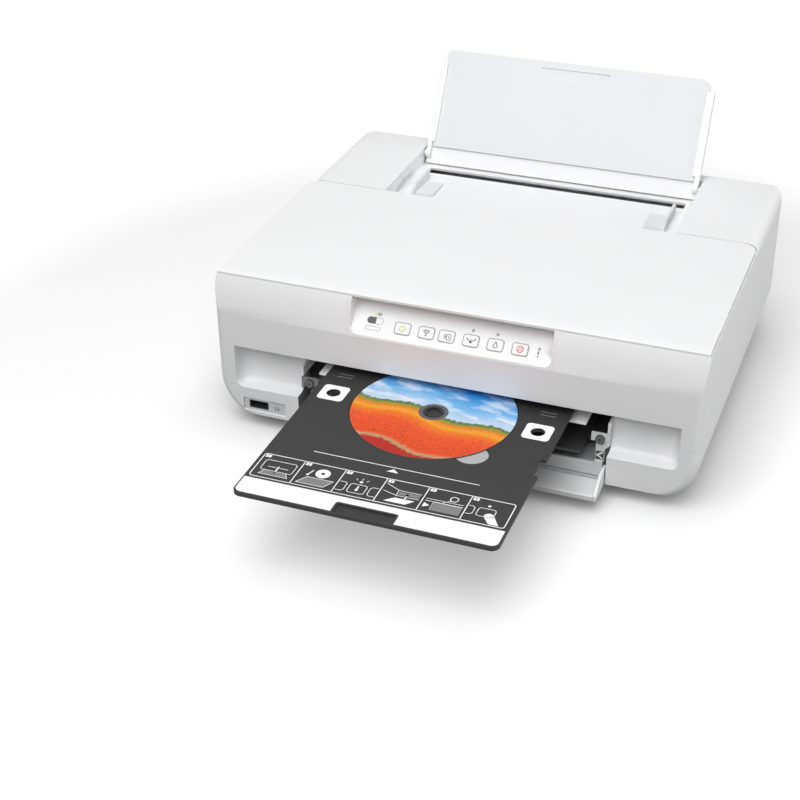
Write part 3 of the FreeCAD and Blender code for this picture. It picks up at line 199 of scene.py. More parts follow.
def softened(node, body, material, edge, sharp_in=None, less=None):
    """A copy of a solid with its doubles merged and its edges eased by the given radius.

    Edges in the space sharp_in (two corners) keep their corner, where another piece closes on them.
    A block less (two corners) is cut away first. Notched outlines are split so that they fill rightly,
    except on the front, whose planes stay whole and even.
    """
    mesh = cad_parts[node].data.copy()
    if less:
        mesh = cut_away(mesh, *less)
    work = bmesh.new()
    work.from_mesh(mesh)
    bmesh.ops.remove_doubles(work, verts=work.verts, dist=merge_within)
    bmesh.ops.dissolve_limit(work, angle_limit=level_within, verts=work.verts, edges=work.edges)
    not_in_front = [face for face in work.faces if face.normal.y > facing_front]
    bmesh.ops.connect_verts_concave(work, faces=not_in_front)
    weights = work.edges.layers.float.new("bevel_weight_edge")
    for line in work.edges:
        middle = (line.verts[0].co + line.verts[1].co) / 2
        bent = line.calc_face_angle(0.0) > corner_from
        line[weights] = 1.0 if bent and not (sharp_in and within(middle, sharp_in)) else 0.0
    work.to_mesh(mesh)
    work.free()
    piece = bpy.data.objects.new("eased_" + node, mesh)
    bpy.context.collection.objects.link(piece)
    if edge:
        bevel = piece.modifiers.new("ease", "BEVEL")
        bevel.width = edge
        bevel.segments = 2
        bevel.limit_method = "WEIGHT"
        bevel.use_clamp_overlap = False
        bevel.miter_outer = "MITER_ARC"
        piece.data = made_plain(piece)
        piece.modifiers.clear()
        held_to(mesh, piece.data, stray_share * edge)
    piece.data.shade_smooth()
    piece.data.set_sharp_from_angle(angle=crease_from)
    keep_folds(piece.data)
    flatter = piece.modifiers.new("flatter", "WEIGHTED_NORMAL")
    flatter.keep_sharp = True
    piece.data = made_plain(piece)
    piece.modifiers.clear()
    piece.data.materials.clear()
    piece.data.materials.append(material)
    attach(piece, body)
    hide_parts(node)
    return piece


casing_plastic = plastic("casing_plastic", casing_white, 0.42)
panel_half = 76.3
round_panel = space((-82, 82), (-2, 32), (90, 130))
lip_over_panel = space((-panel_half, panel_half), (4, 8.3), (121.7, 126))
softened("upper_shell", "casing", casing_plastic, casing_edge, round_panel, lip_over_panel)
softened("rear_door", "casing", casing_plastic, casing_edge)
lower = softened("lower_shell", "casing", casing_plastic, casing_edge)

# the side walls of the outlet are the lower shell's white moulding; their inward faces are painted dark grey
# as painted shade, for the shade that falls inside the outlet
jamb_painted_shade = plastic("jamb_painted_shade", (0.13, 0.13, 0.132), 0.5)
shaded_jambs = space((112, 126), (0.6, 60), (16, 62))
inwards = -0.9
lower.data.materials.append(jamb_painted_shade)
for face in lower.data.polygons:
    middle = (abs(face.center.x), face.center.y, face.center.z)
    if face.normal.x * face.center.x < inwards * abs(face.center.x) and within(middle, shaded_jambs):
        face.material_index = 1


# ---- Lid: one thin white moulding over the carriage, hinged at the back.
# Its front edge rolls down to meet the brow along the long seam, and it stops just short of the sides.

skirt_over_panel = space((-panel_half, panel_half), (7, 12), (119, 124.6))
softened("top_lid", "lid", casing_plastic, casing_edge, less=skirt_over_panel)


# ---- Rear feed: the support folds up out of the deck and its leaf pulls out; two guides slide in the trough.
# All are moulded in the casing's white, the guides and leaf a shade greyer. The guides' feet are ribbed for
# the fingers.

guide_plastic = plastic("guide_plastic", (0.72, 0.725, 0.735), 0.45)
softened("paper_support", "support", casing_plastic, 0.3 * mm)
softened("support_leaf", "leaf", guide_plastic, 0.3 * mm)
softened("side_guide_left", "left_guide", guide_plastic, 0.2 * mm)
softened("side_guide_right", "right_guide", guide_plastic, 0.2 * mm)


def row_tree():
    """Copies one small piece along a straight row and gives it a material."""
    tree = bpy.data.node_groups.new("row_of_pieces", "GeometryNodeTree")
    for name, kind in (("Geometry", "NodeSocketGeometry"), ("Count", "NodeSocketInt"),
                       ("Step", "NodeSocketVector"), ("Paint", "NodeSocketMaterial")):
        tree.interface.new_socket(name=name, in_out="INPUT", socket_type=kind)
    tree.interface.new_socket(name="Geometry", in_out="OUTPUT", socket_type="NodeSocketGeometry")
    nodes, links = tree.nodes, tree.links
    given = nodes.new("NodeGroupInput")
    result = nodes.new("NodeGroupOutput")
    line = nodes.new("GeometryNodeMeshLine")
    line.mode = "OFFSET"
    copies = nodes.new("GeometryNodeInstanceOnPoints")
    real = nodes.new("GeometryNodeRealizeInstances")
    paint = nodes.new("GeometryNodeSetMaterial")
    links.new(given.outputs["Count"], line.inputs["Count"])
    links.new(given.outputs["Step"], line.inputs["Offset"])
    links.new(line.outputs["Mesh"], copies.inputs["Points"])
    links.new(given.outputs["Geometry"], copies.inputs["Instance"])
    links.new(copies.outputs["Instances"], real.inputs["Geometry"])
    links.new(real.outputs["Geometry"], paint.inputs["Geometry"])
    links.new(given.outputs["Paint"], paint.inputs["Material"])
    links.new(paint.outputs["Geometry"], result.inputs["Geometry"])
    return tree


row_of_pieces = row_tree()


def row(name, mesh, count, step, material, body):
    """A row of the same small piece, fixed to a body."""
    piece = bpy.data.objects.new(name, mesh)
    bpy.context.collection.objects.link(piece)
    repeat = piece.modifiers.new("repeat", "NODES")
    repeat.node_group = row_of_pieces
    sockets = row_of_pieces.interface.items_tree
    given = {item.name: item.identifier for item in sockets if item.in_out == "INPUT"}
    repeat[given["Count"]] = count
    repeat[given["Step"]] = step
    repeat[given["Paint"]] = material
    piece.data = made_plain(piece)
    piece.modifiers.clear()
    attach(piece, body)


rib_count = 9
rib_pitch = 2.0 * mm
rib_wide = 0.9 * mm
rib_high = 0.35 * mm
rib_long = 4.0 * mm
first_rib = 14 * mm
foot_thick = 2.0 * mm
for side in ("left", "right"):
    low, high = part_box(f"side_guide_{side}")
    outer = low[0] if side == "left" else high[0]
    foot_top = low[2] + foot_thick
    x0, x1 = sorted((outer, outer + (rib_long if side == "left" else -rib_long)))
    start = low[1] + first_rib
    rib = block((x0, start, foot_top - rib_high), (x1, start + rib_wide, foot_top + rib_high))
    row(f"grip_ribs_{side}", rib, rib_count, (0, rib_pitch, 0), guide_plastic, f"{side}_guide")


# ---- Front cover and paper cassette, in the same white and a light grey.
# The cover hinges down on two pins; the cassette slides out over it.

cassette_grey = plastic("cassette_grey", (0.66, 0.665, 0.675), 0.4)
softened("front_cover", "cover", casing_plastic, 0.35 * mm)
softened("paper_cassette", "cassette", cassette_grey, 0.3 * mm)


# ---- Base edge: the lower shell's floor runs forward under the cassette to the front cover's hinge.
# It is the shell's own white moulding, seen only as the line under the cassette.

floor_lip = space((-116, 116), (4.2, 24.0), (11.2, 13.6))
base_edge = bpy.data.objects.new("base_edge", block(*floor_lip))
bpy.context.collection.objects.link(base_edge)
base_edge.data.materials.append(casing_plastic)
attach(base_edge, "casing")


# ---- Output tray: a flat black moulding that slides out over the cassette's rims.
# It has a low ridge across its front and runs under the disc tray.

tray_black = plastic("tray_black", (0.075, 0.075, 0.077), 0.45, grain=0.12)
softened("output_tray", "stacker", tray_black, 0.25 * mm)


# ---- Disc tray: a thin black plate with a shallow seat. Two white squares let the sensor find it.
# The front carries a white band to hold it by and six numbered frames that show how it goes in.

tray_plate = plastic("tray_plate", (0.009, 0.009, 0.0092), 0.62, grain=0.1)
tray_rim = plastic("tray_rim", (0.004, 0.004, 0.004), 0.6)
softened("disc_tray", "tray", tray_plate, 0.2 * mm)

ink_lift = 0.05 * mm
white_ink = plastic("white_ink", (0.93, 0.93, 0.925), 0.5, grain=0.02, mottle=0.01)
grey_ink = plastic("grey_ink", (0.19, 0.19, 0.195), 0.5, grain=0.02)
pale_ink = plastic("pale_ink", (0.42, 0.42, 0.43), 0.5, grain=0.02)
black_ink = plastic("black_ink", (0.006, 0.006, 0.006), 0.6, grain=0.02)
sharpest_mitre = 0.5      # a sharper corner is cut short


def band(sheet, points, width, closed=False):
    """A printed line: a flat band along points (x, y) in mm, with mitred corners."""
    count = len(points)
    pairs = []
    for i, (x, y) in enumerate(points):
        before = points[i - 1] if i or closed else points[i]
        after = points[(i + 1) % count] if i < count - 1 or closed else points[i]
        ways = [Vector((x - before[0], y - before[1])), Vector((after[0] - x, after[1] - y))]
        ways = [way.normalized() for way in ways if way.length > 1e-9]
        along = sum(ways, Vector((0, 0))).normalized()
        spread = 1 / max(sharpest_mitre, along.dot(ways[0]))
        left = Vector((-along.y, along.x)) * width / 2 * spread
        pairs.append([sheet.verts.new((x - left.x, y - left.y, 0)),
                      sheet.verts.new((x + left.x, y + left.y, 0))])
    for i in range(count if closed else count - 1):
        (right0, left0), (right1, left1) = pairs[i], pairs[(i + 1) % count]
        sheet.faces.new((right0, right1, left1, left0))


def fill(sheet, points):
    """A printed area inside points (x, y) in mm."""
    turn = sum(a[0] * b[1] - b[0] * a[1] for a, b in zip(points, points[1:] + points[:1]))
    ordered = points if turn > 0 else points[::-1]
    sheet.faces.new([sheet.verts.new((x, y, 0)) for x, y in ordered])


def ring_fill(sheet, outer, inner):
    """A printed area between two outlines with the same number of points, both anticlockwise."""
    rows = [[sheet.verts.new((x, y, 0)) for x, y in outline] for outline in (outer, inner)]
    count = len(outer)
    for i in range(count):
        j = (i + 1) % count
        sheet.faces.new((rows[0][i], rows[0][j], rows[1][j], rows[1][i]))


def arc(x, y, r, start, end, steps):
    """Points on an arc, angles in degrees."""
    angles = [math.radians(start + (end - start) * i / steps) for i in range(steps + 1)]
    return [(x + r * math.cos(a), y + r * math.sin(a)) for a in angles]


def circle(x, y, r, steps):
    """Points round a whole circle, each once."""
    return arc(x, y, r, 0, 360, steps)[:-1]


def rounded(x0, y0, x1, y1, r, steps=4):
    """A rounded rectangle, anticlockwise from its lower left corner."""
    corners = ((x0 + r, y0 + r, 180), (x1 - r, y0 + r, 270), (x1 - r, y1 - r, 0), (x0 + r, y1 - r, 90))
    return [point for x, y, start in corners for point in arc(x, y, r, start, start + 90, steps)]


def arrow(sheet, x, y, way, length, width):
    """A solid arrow from (x, y), way in degrees, width half its head's."""
    along = Vector((math.cos(math.radians(way)), math.sin(math.radians(way))))
    left = Vector((-along.y, along.x))
    head = 1.6 * width
    shaft = 0.35
    start = Vector((x, y))
    neck = start + along * (length - head)
    tip = start + along * length
    outline = [start - left * width * shaft, neck - left * width * shaft, neck - left * width, tip,
               neck + left * width, neck + left * width * shaft, start + left * width * shaft]
    fill(sheet, [tuple(point) for point in outline])


def figure(sheet, number, x, y, high):
    """A printed number with its middle at (x, y)."""
    curve = bpy.data.curves.new("figure", "FONT")
    curve.body = str(number)
    curve.align_x = "CENTER"
    curve.align_y = "CENTER"
    curve.size = high
    holder = bpy.data.objects.new("figure", curve)
    bpy.context.collection.objects.link(holder)
    mesh = made_plain(holder)
    mesh.transform(Matrix.Translation((x, y, 0)))
    sheet.from_mesh(mesh)
    bpy.data.objects.remove(holder)


def printed(name, sheet, ink, body, place):
    """Lays a finished sheet of print, drawn in mm, on a piece: place takes it there."""
    mesh = bpy.data.meshes.new(name)
    sheet.to_mesh(mesh)
    sheet.free()
    mesh.transform(place @ Matrix.Scale(mm, 4))
    mesh.materials.append(ink)
    piece = bpy.data.objects.new(name, mesh)
    bpy.context.collection.objects.link(piece)
    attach(piece, body)


# sizes and places on the tray, in mm from the machine's front face
hub_stands = 0.6 * mm
tray_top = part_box("disc_tray")[1][2] - hub_stands
on_tray = Matrix.Translation((0, front_y, tray_top + ink_lift))
disc_middle_y = -29.2
seat_r = 60.5
mark_x = 77.5
mark_square = 20.0
mark_r = 5.0
mark_corner = 1.29      # how far its rounded corners reach, in half sides
print_gap = 0.2
tray_front = -167.3
tray_half = 93.0
band_rear = -148.0
band_front = -165.4
band_half = tray_half - 1.2
band_corner = 4.5
grip_half = 20.5
grip_rear = -155.8
grip_rim = 1.6
grip_corner = 2.0
frames_half = 90.0
frames_rear = -118.0
frames_front = -145.5
frame_pitch = 30.0
frame_corner = 2.0
frame_line = 0.7
insert_line_half = 60.0
insert_line_y = -104.7
thin = 0.5

whites = bmesh.new()
for x in (-mark_x, mark_x):
    half = mark_square / 2
    hole = circle(x, disc_middle_y, mark_r + print_gap, 48)
    square = []
    for px, py in hole:
        away = Vector((px - x, py - disc_middle_y)).normalized()
        reach = min(half / max(abs(away.x), abs(away.y)), half * mark_corner)
        square.append((x + away.x * reach, disc_middle_y + away.y * reach))
    ring_fill(whites, square, hole)

grip_edge = grip_half + grip_rim
bend_x = band_half - band_corner
bend_y = band_front + band_corner
notch_x = grip_edge - grip_corner
notch_y = grip_rear + grip_rim - grip_corner
fill(whites, [(-band_half, band_rear)] + arc(-bend_x, bend_y, band_corner, 180, 270, 6)
     + [(-grip_edge, band_front)] + arc(-notch_x, notch_y, grip_corner, 180, 90, 4)
     + arc(notch_x, notch_y, grip_corner, 90, 0, 4) + [(grip_edge, band_front)]
     + arc(bend_x, bend_y, band_corner, 270, 360, 6) + [(band_half, band_rear)])

band(whites, rounded(-frames_half, frames_front, frames_half, frames_rear, frame_corner), frame_line,
     closed=True)
cell = [(-frames_half + i * frame_pitch, frames_front) for i in range(6)]
for x, y in cell[1:]:
    band(whites, [(x, frames_front), (x, frames_rear)], frame_line)
band(whites, [(-insert_line_half, insert_line_y), (insert_line_half, insert_line_y)], frame_line)
fill(whites, [(-4.2, -110.4), (4.2, -110.4), (0, -106.6)])
for x, y in cell:
    fill(whites, [(x + 1.4, frames_rear - 4.0), (x + 5.4, frames_rear - 4.0),
                  (x + 5.4, frames_rear - 0.9), (x + 1.4, frames_rear - 0.9)])

greys = bmesh.new()

# frame 1: the machine's front with its cover swung down
x, y = cell[0]
band(whites, rounded(x + 4, y + 9, x + 27, y + 21, 2.0), thin, closed=True)
band(whites, [(x + 8, y + 13.5), (x + 23, y + 13.5)], thin)
band(whites, [(x + 8, y + 9), (x + 5, y + 4), (x + 26, y + 4), (x + 23, y + 9)], thin)
fill(greys, [(x + 8.4, y + 8.4), (x + 6, y + 4.5), (x + 25, y + 4.5), (x + 22.6, y + 8.4)])
arrow(whites, x + 15.5, y + 15.2, 270, 9.0, 1.5)

# frame 2: a disc laid on the tray
x, y = cell[1]
band(whites, [(x + 3, y + 3), (x + 8, y + 11), (x + 27, y + 11), (x + 23, y + 3)], thin, closed=True)
fill(greys, [(x + 3.6, y + 3.4), (x + 8.2, y + 10.6), (x + 26.3, y + 10.6), (x + 22.7, y + 3.4)])
ring_fill(whites, circle(x + 17, y + 17.5, 5.2, 32), circle(x + 17, y + 17.5, 1.4, 32))
arrow(whites, x + 9.5, y + 19.5, 250, 8.0, 1.3)

# frame 3: the tray key and its lamp
x, y = cell[2]
band(whites, rounded(x + 9, y + 4, x + 21, y + 14, 2.0), thin, closed=True)
band(whites, [(x + 1, y + 4), (x + 5, y + 4), (x + 6.5, y + 5.5), (x + 6.5, y + 12.5), (x + 5, y + 14),
              (x + 1, y + 14)], thin)
band(whites, [(x + 29, y + 4), (x + 25, y + 4), (x + 23.5, y + 5.5), (x + 23.5, y + 12.5), (x + 25, y + 14),
              (x + 29, y + 14)], thin)
fill(whites, circle(x + 15, y + 17.2, 1.2, 16))
arrow(whites, x + 15, y + 12.4, 270, 6.4, 1.5)
band(whites, [(x + 15, y + 19.4), (x + 15, y + 21.5)], thin)
band(whites, [(x + 18, y + 18.6), (x + 19.6, y + 20.2)], thin)
band(whites, [(x + 12, y + 18.6), (x + 10.4, y + 20.2)], thin)

# frame 4: the tray going into the slot
x, y = cell[3]
band(whites, [(x + 2, y + 22), (x + 12, y + 17), (x + 28, y + 17)], thin)
band(whites, [(x + 2, y + 14), (x + 12, y + 11), (x + 28, y + 11)], thin)
band(whites, [(x + 12, y + 17), (x + 12, y + 11)], thin)
fill(greys, [(x + 13, y + 15.8), (x + 13, y + 12.2), (x + 27.6, y + 12.2), (x + 27.6, y + 15.8)])
fill(whites, [(x + 6, y + 3), (x + 12, y + 8.4), (x + 26, y + 8.4), (x + 21, y + 3)])
arrow(whites, x + 19, y + 8.8, 90, 6.4, 1.5)

# frame 5: the tray's edge set against the marks of the slot
x, y = cell[4]
band(whites, [(x + 2, y + 15), (x + 28, y + 15)], thin)
band(whites, [(x + 2, y + 12.6), (x + 28, y + 12.6)], thin)
fill(greys, [(x + 8, y + 3), (x + 8, y + 12), (x + 28, y + 12), (x + 28, y + 3)])
band(whites, [(x + 8, y + 3), (x + 8, y + 12), (x + 28, y + 12)], thin)
fill(whites, [(x + 2.2, y + 5.2), (x + 2.2, y + 10.2), (x + 6.6, y + 7.7)])
ring_fill(whites, circle(x + 20, y + 19.4, 3.0, 24), circle(x + 20, y + 19.4, 2.3, 24))
band(whites, [(x + 18.2, y + 16.9), (x + 12.5, y + 12.2)], thin)

# frame 6: a fingertip on the key
x, y = cell[5]
band(whites, rounded(x + 8, y + 8, x + 20, y + 17, 2.0), thin, closed=True)
fill(whites, circle(x + 14, y + 20.2, 1.1, 16))
band(whites, [(x + 1, y + 8), (x + 4, y + 8), (x + 5.5, y + 9.5), (x + 5.5, y + 15.5), (x + 4, y + 17),
              (x + 1, y + 17)], thin)
fill(whites, arc(x + 17, y + 9, 3.4, 20, 200, 12) + [(x + 19, y + 1.2), (x + 26, y + 1.2)])

printed("tray_white_print", whites, white_ink, "tray", on_tray)
printed("tray_grey_print", greys, grey_ink, "tray", on_tray)

blacks = bmesh.new()
figure_high = 3.2
for number, (x, y) in enumerate(cell, start=1):
    figure(blacks, number, x + 3.4, frames_rear - 2.45, figure_high)
printed("frame_numbers", blacks, black_ink, "tray", Matrix.Translation((0, 0, ink_lift)) @ on_tray)

corner_marks = bmesh.new()
for x in (-82.0, 73.0):
    band(corner_marks, [(x, -105.7), (x, -97.9), (x + 9.0, -97.9)], 1.1)
printed("corner_marks", corner_marks, black_ink, "tray", on_tray)

dashes = bmesh.new()
for x in (-84.0, 72.0):
    for y in (-2.4, -6.4):
        band(dashes, [(x, y), (x + 12.0, y)], 0.7)
printed("edge_dashes", dashes, grey_ink, "tray", on_tray)

# the floors of three openings: the grip at the front, the hub and the hollow for the thumb
floor_depth = 1.2 * mm
hub_depth = 0.8 * mm
floor_gap = 0.4
front_wall = 2.0
hub_hole_r = 4.9
hub_gap = 0.05
down_to_floor = Matrix.Translation((0, 0, -floor_depth)) @ on_tray

grip_floor = bmesh.new()
fill(grip_floor, rounded(-grip_half + floor_gap, tray_front + front_wall, grip_half - floor_gap,
                         grip_rear - floor_gap, grip_rim))
printed("grip_floor", grip_floor, tray_rim, "tray", down_to_floor)

hub_floor = bmesh.new()
fill(hub_floor, circle(0, disc_middle_y, hub_hole_r - hub_gap, 40))
printed("hub_floor", hub_floor, tray_plate, "tray", Matrix.Translation((0, 0, -hub_depth)) @ on_tray)

thumb_x = 43.0
thumb_y = -71.0
thumb_r = 11.8
thumb_gap = 0.15
under_seat = 1.5
out_angle = math.degrees(math.atan2(thumb_y - disc_middle_y, thumb_x))
reach = math.hypot(thumb_x, thumb_y - disc_middle_y)
chord = (reach ** 2 + seat_r ** 2 - thumb_r ** 2) / (2 * reach)
open_seat = math.degrees(math.acos(chord / seat_r))
open_thumb = math.degrees(math.acos((chord - reach) / (thumb_r - thumb_gap)))
thumb_floor = bmesh.new()
fill(thumb_floor, arc(thumb_x, thumb_y, thumb_r - thumb_gap,
                      out_angle - open_thumb, out_angle + open_thumb, 24)
     + arc(0, disc_middle_y, seat_r - under_seat, out_angle + open_seat, out_angle - open_seat, 16))
printed("thumb_floor", thumb_floor, pale_ink, "tray", down_to_floor)


# ---- Disc: a polycarbonate disc, clear round the hub and at the very edge, printed on top by ink.
# The print is a plain pattern of slanting waves: blue and white, a green line, yellow, orange and red.

disc_low, disc_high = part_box("disc")
disc_centre = [(a + b) / 2 for a, b in zip(disc_low, disc_high)]
disc_wide = 0.12
print_slant = math.radians(9)
wave_per_metre = 95.0
wave_high = 0.0035
torn_edge = 0.006
torn_per_metre = 420.0
clouds_per_metre = 52.0
cloud_white = 0.85
speckles_per_metre = 900.0
speckle_dark = 0.55
clear_hub_r = 0.0108
clear_rim_r = 0.0598


def disc_material():
    """The print, by height across the disc, with clouds over its blue and speckles over its red."""
    material = bpy.data.materials.new("printed_disc")
    material.use_nodes = True
    nodes, links = material.node_tree.nodes, material.node_tree.links
    shader = nodes["Principled BSDF"]
    shader.inputs["Roughness"].default_value = 0.5
    shader.inputs["Specular IOR Level"].default_value = 0.25
    place = nodes.new("ShaderNodeTexCoord")
    centred = nodes.new("ShaderNodeMapping")
    centred.vector_type = "POINT"
    centred.inputs["Location"].default_value = [-c for c in disc_centre]
    links.new(place.outputs["Object"], centred.inputs["Vector"])
    slant = nodes.new("ShaderNodeMapping")
    slant.inputs["Rotation"].default_value = (0, 0, print_slant)
    links.new(centred.outputs["Vector"], slant.inputs["Vector"])
    parts = nodes.new("ShaderNodeSeparateXYZ")
    links.new(slant.outputs["Vector"], parts.inputs["Vector"])

    def math_node(kind, a, b):
        node = nodes.new("ShaderNodeMath")
        node.operation = kind
        for socket, value in zip(node.inputs, (a, b)):
            if isinstance(value, float):
                socket.default_value = value
            elif value is not None:
                links.new(value, socket)
        return node.outputs[0]

    def noise(scale, detail, stretch):
        spread = nodes.new("ShaderNodeMapping")
        spread.inputs["Scale"].default_value = stretch
        links.new(slant.outputs["Vector"], spread.inputs["Vector"])
        texture = nodes.new("ShaderNodeTexNoise")
        texture.inputs["Scale"].default_value = scale
        texture.inputs["Detail"].default_value = detail
        links.new(spread.outputs["Vector"], texture.inputs["Vector"])
        return texture.outputs["Fac"]

    def ramp(value, stops):
        node = nodes.new("ShaderNodeValToRGB")
        while len(node.color_ramp.elements) < len(stops):
            node.color_ramp.elements.new(0.5)
        for element, (position, colour) in zip(node.color_ramp.elements, stops):
            element.position = position
            element.color = colour + (1.0,)
        links.new(value, node.inputs["Fac"])
        return node.outputs["Color"]

    def mixed(a, b, share):
        node = nodes.new("ShaderNodeMix")
        node.data_type = "RGBA"
        for socket, value in ((node.inputs["A"], a), (node.inputs["B"], b)):
            if isinstance(value, tuple):
                socket.default_value = value + (1.0,)
            else:
                links.new(value, socket)
        links.new(share, node.inputs["Factor"])
        return node.outputs["Result"]

    # height on the disc from 0 at its front edge to 1 at its rear edge, bent into waves
    turn = math_node("MULTIPLY", parts.outputs["X"], wave_per_metre)
    wave = math_node("MULTIPLY", math_node("SINE", turn, None), wave_high)
    rough_edge = math_node("MULTIPLY", math_node("SUBTRACT", noise(torn_per_metre, 3.0, (1, 1, 1)), 0.5),
                           torn_edge)
    level = math_node("ADD", math_node("ADD", parts.outputs["Y"], wave), rough_edge)
    height = math_node("ADD", math_node("DIVIDE", level, disc_wide), 0.5)
    base = ramp(height, (
        (0.00, (0.42, 0.02, 0.012)), (0.07, (0.42, 0.02, 0.012)), (0.09, (0.46, 0.33, 0.17)),
        (0.12, (0.72, 0.075, 0.012)), (0.30, (0.80, 0.095, 0.018)), (0.37, (0.80, 0.19, 0.012)),
        (0.405, (0.80, 0.36, 0.02)), (0.44, (0.72, 0.20, 0.02)), (0.475, (0.20, 0.26, 0.03)),
        (0.495, (0.05, 0.11, 0.03)), (0.51, (0.50, 0.62, 0.74)), (0.64, (0.16, 0.42, 0.72)),
        (0.80, (0.03, 0.24, 0.60)), (1.0, (0.01, 0.13, 0.42))))
    none, full = (0.0, 0.0, 0.0), (1.0, 1.0, 1.0)
    streaks = ramp(noise(clouds_per_metre, 5.0, (0.75, 2.1, 1)), ((0.48, none), (0.62, full)))
    sky_share = ramp(height, ((0.505, none), (0.53, full), (0.80, (0.7, 0.7, 0.7)), (0.97, (0.1, 0.1, 0.1))))
    cloud_share = math_node("MULTIPLY", math_node("MULTIPLY", streaks, sky_share), cloud_white)
    sky = mixed(base, (0.72, 0.78, 0.84), cloud_share)
    speckle = ramp(noise(speckles_per_metre, 2.0, (1, 1.6, 1)), ((0.50, none), (0.62, full)))
    field_share = ramp(height, ((0.10, none), (0.14, full), (0.32, (0.9, 0.9, 0.9)), (0.44, none)))
    dark_share = math_node("MULTIPLY", math_node("MULTIPLY", speckle, field_share), speckle_dark)
    print_colour = mixed(sky, (0.30, 0.012, 0.012), dark_share)

    radius = math_node("SQRT", math_node("ADD", math_node("MULTIPLY", parts.outputs["X"], parts.outputs["X"]),
                                         math_node("MULTIPLY", parts.outputs["Y"], parts.outputs["Y"])), None)
    hub = math_node("LESS_THAN", radius, clear_hub_r)
    rim = math_node("GREATER_THAN", radius, clear_rim_r)
    clear = math_node("MAXIMUM", hub, rim)
    links.new(mixed(print_colour, (0.10, 0.105, 0.11), clear), shader.inputs["Base Color"])
    return material


softened("disc", "tray", disc_material(), 0.1 * mm)


# ---- Key panel and keys: a white plate set at a slope in the brow, with six caps and four lamps.
# Each cap is a pale clear moulding with a thin grey outline and a symbol printed on it.

panel_foot_y = 0.6
panel_foot_z = 98.8
panel_tilt = math.radians(45.0)
key_up = 9.8
key_half_w = 6.0
key_half_h = 4.5
key_proud = 0.5
key_corner = 1.6
outline_inset = 0.35
outline_line = 0.4
alert_x = 65.4
badge_x = -59.0
print_out = 0.04      # how far print stands off its face


def on_panel(x, up, out):
    """Takes a drawing in mm to the key panel: across, up the slope, out from its face."""
    back = panel_foot_y + up * math.sin(panel_tilt) - out * math.cos(panel_tilt)
    high = panel_foot_z + up * math.cos(panel_tilt) + out * math.sin(panel_tilt)
    origin = Vector((x * mm, front_y + back * mm, high * mm))
    across = Vector((1, 0, 0))
    rise = Vector((0, math.sin(panel_tilt), math.cos(panel_tilt)))
    face = across.cross(rise)
    return Matrix.Translation(origin) @ Matrix((across, rise, face)).transposed().to_4x4()


key_white = plastic("key_white", (0.82, 0.825, 0.83), 0.3, grain=0.02)
outline_ink = plastic("outline_ink", (0.30, 0.30, 0.31), 0.5, grain=0.02)
symbol_ink = plastic("symbol_ink", (0.07, 0.07, 0.072), 0.5, grain=0.02)
power_ink = plastic("power_ink", (0.52, 0.66, 0.06), 0.5, grain=0.02)
cancel_ink = plastic("cancel_ink", (0.70, 0.07, 0.05), 0.5, grain=0.02)
softened("key_panel", "casing", casing_plastic, 0.0)


def power_symbol(sheet):
    band(sheet, arc(0, -0.2, 2.1, 120, 420, 28), 0.8)
    band(sheet, [(0, 0.3), (0, 2.7)], 0.8)


def waves_symbol(sheet):
    for r in (1.5, 2.8, 4.1):
        band(sheet, arc(0, -2.2, r, 50, 130, 12), 0.65)
    fill(sheet, circle(0, -2.1, 0.65, 12))


def sheet_symbol(sheet):
    band(sheet, rounded(0.2, -2.6, 3.4, 1.6, 0.6, 3), 0.5, closed=True)
    band(sheet, [(1.8, -1.6), (1.8, 0.6)], 0.6)
    band(sheet, arc(-2.6, -0.2, 1.1, -60, 60, 8), 0.5)
    band(sheet, arc(-2.6, -0.2, 2.2, -55, 55, 8), 0.5)


def tray_symbol(sheet):
    for side in (-1, 1):
        band(sheet, [(side * 3.4, 1.9), (side * 2.8, 0.6), (side * 1.3, 0.0)], 0.65)
    band(sheet, [(0, 0.9), (0, -0.7)], 0.8)
    fill(sheet, [(-1.6, -0.4), (1.6, -0.4), (0, -2.4)])


def drop_symbol(sheet):
    band(sheet, [(0, 2.3)] + arc(0, -0.7, 1.5, 35, -215, 22), 0.6, closed=True)


def cancel_symbol(sheet):
    band(sheet, circle(0, 0, 2.3, 32), 0.7, closed=True)
    band(sheet, [(-1.5, -1.5), (1.5, 1.5)], 0.6)
    fill(sheet, [(-1.2, 0.2), (-0.2, 1.2), (-1.1, 1.1)])
    fill(sheet, [(1.2, -0.2), (0.2, -1.2), (1.1, -1.1)])


symbols = {
    "power": (power_symbol, power_ink),
    "wireless": (waves_symbol, symbol_ink),
    "network": (sheet_symbol, symbol_ink),
    "tray": (tray_symbol, symbol_ink),
    "ink": (drop_symbol, symbol_ink),
    "cancel": (cancel_symbol, cancel_ink),
}
for name, (draw, ink) in symbols.items():
    body = f"{name}_button"
    softened(f"{name}_key", body, key_white, 0.18 * mm)
    low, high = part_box(f"{name}_key")
    middle_x = (low[0] + high[0]) / 2 / mm
    place = on_panel(middle_x, key_up, key_proud + print_out)
    edge = bmesh.new()
    edge_x = key_half_w - outline_inset
    edge_y = key_half_h - outline_inset
    band(edge, rounded(-edge_x, -edge_y, edge_x, edge_y, key_corner), outline_line, closed=True)
    printed(f"{name}_outline", edge, outline_ink, body, place)
    symbol = bmesh.new()
    draw(symbol)
    printed(f"{name}_symbol", symbol, ink, body, place)

panel_print = bmesh.new()
band(panel_print, [(0, 11.0), (0, 8.0)], 0.9)
fill(panel_print, circle(0, 6.8, 0.55, 12))
printed("alert_mark", panel_print, symbol_ink, "casing", on_panel(alert_x, 0, print_out))

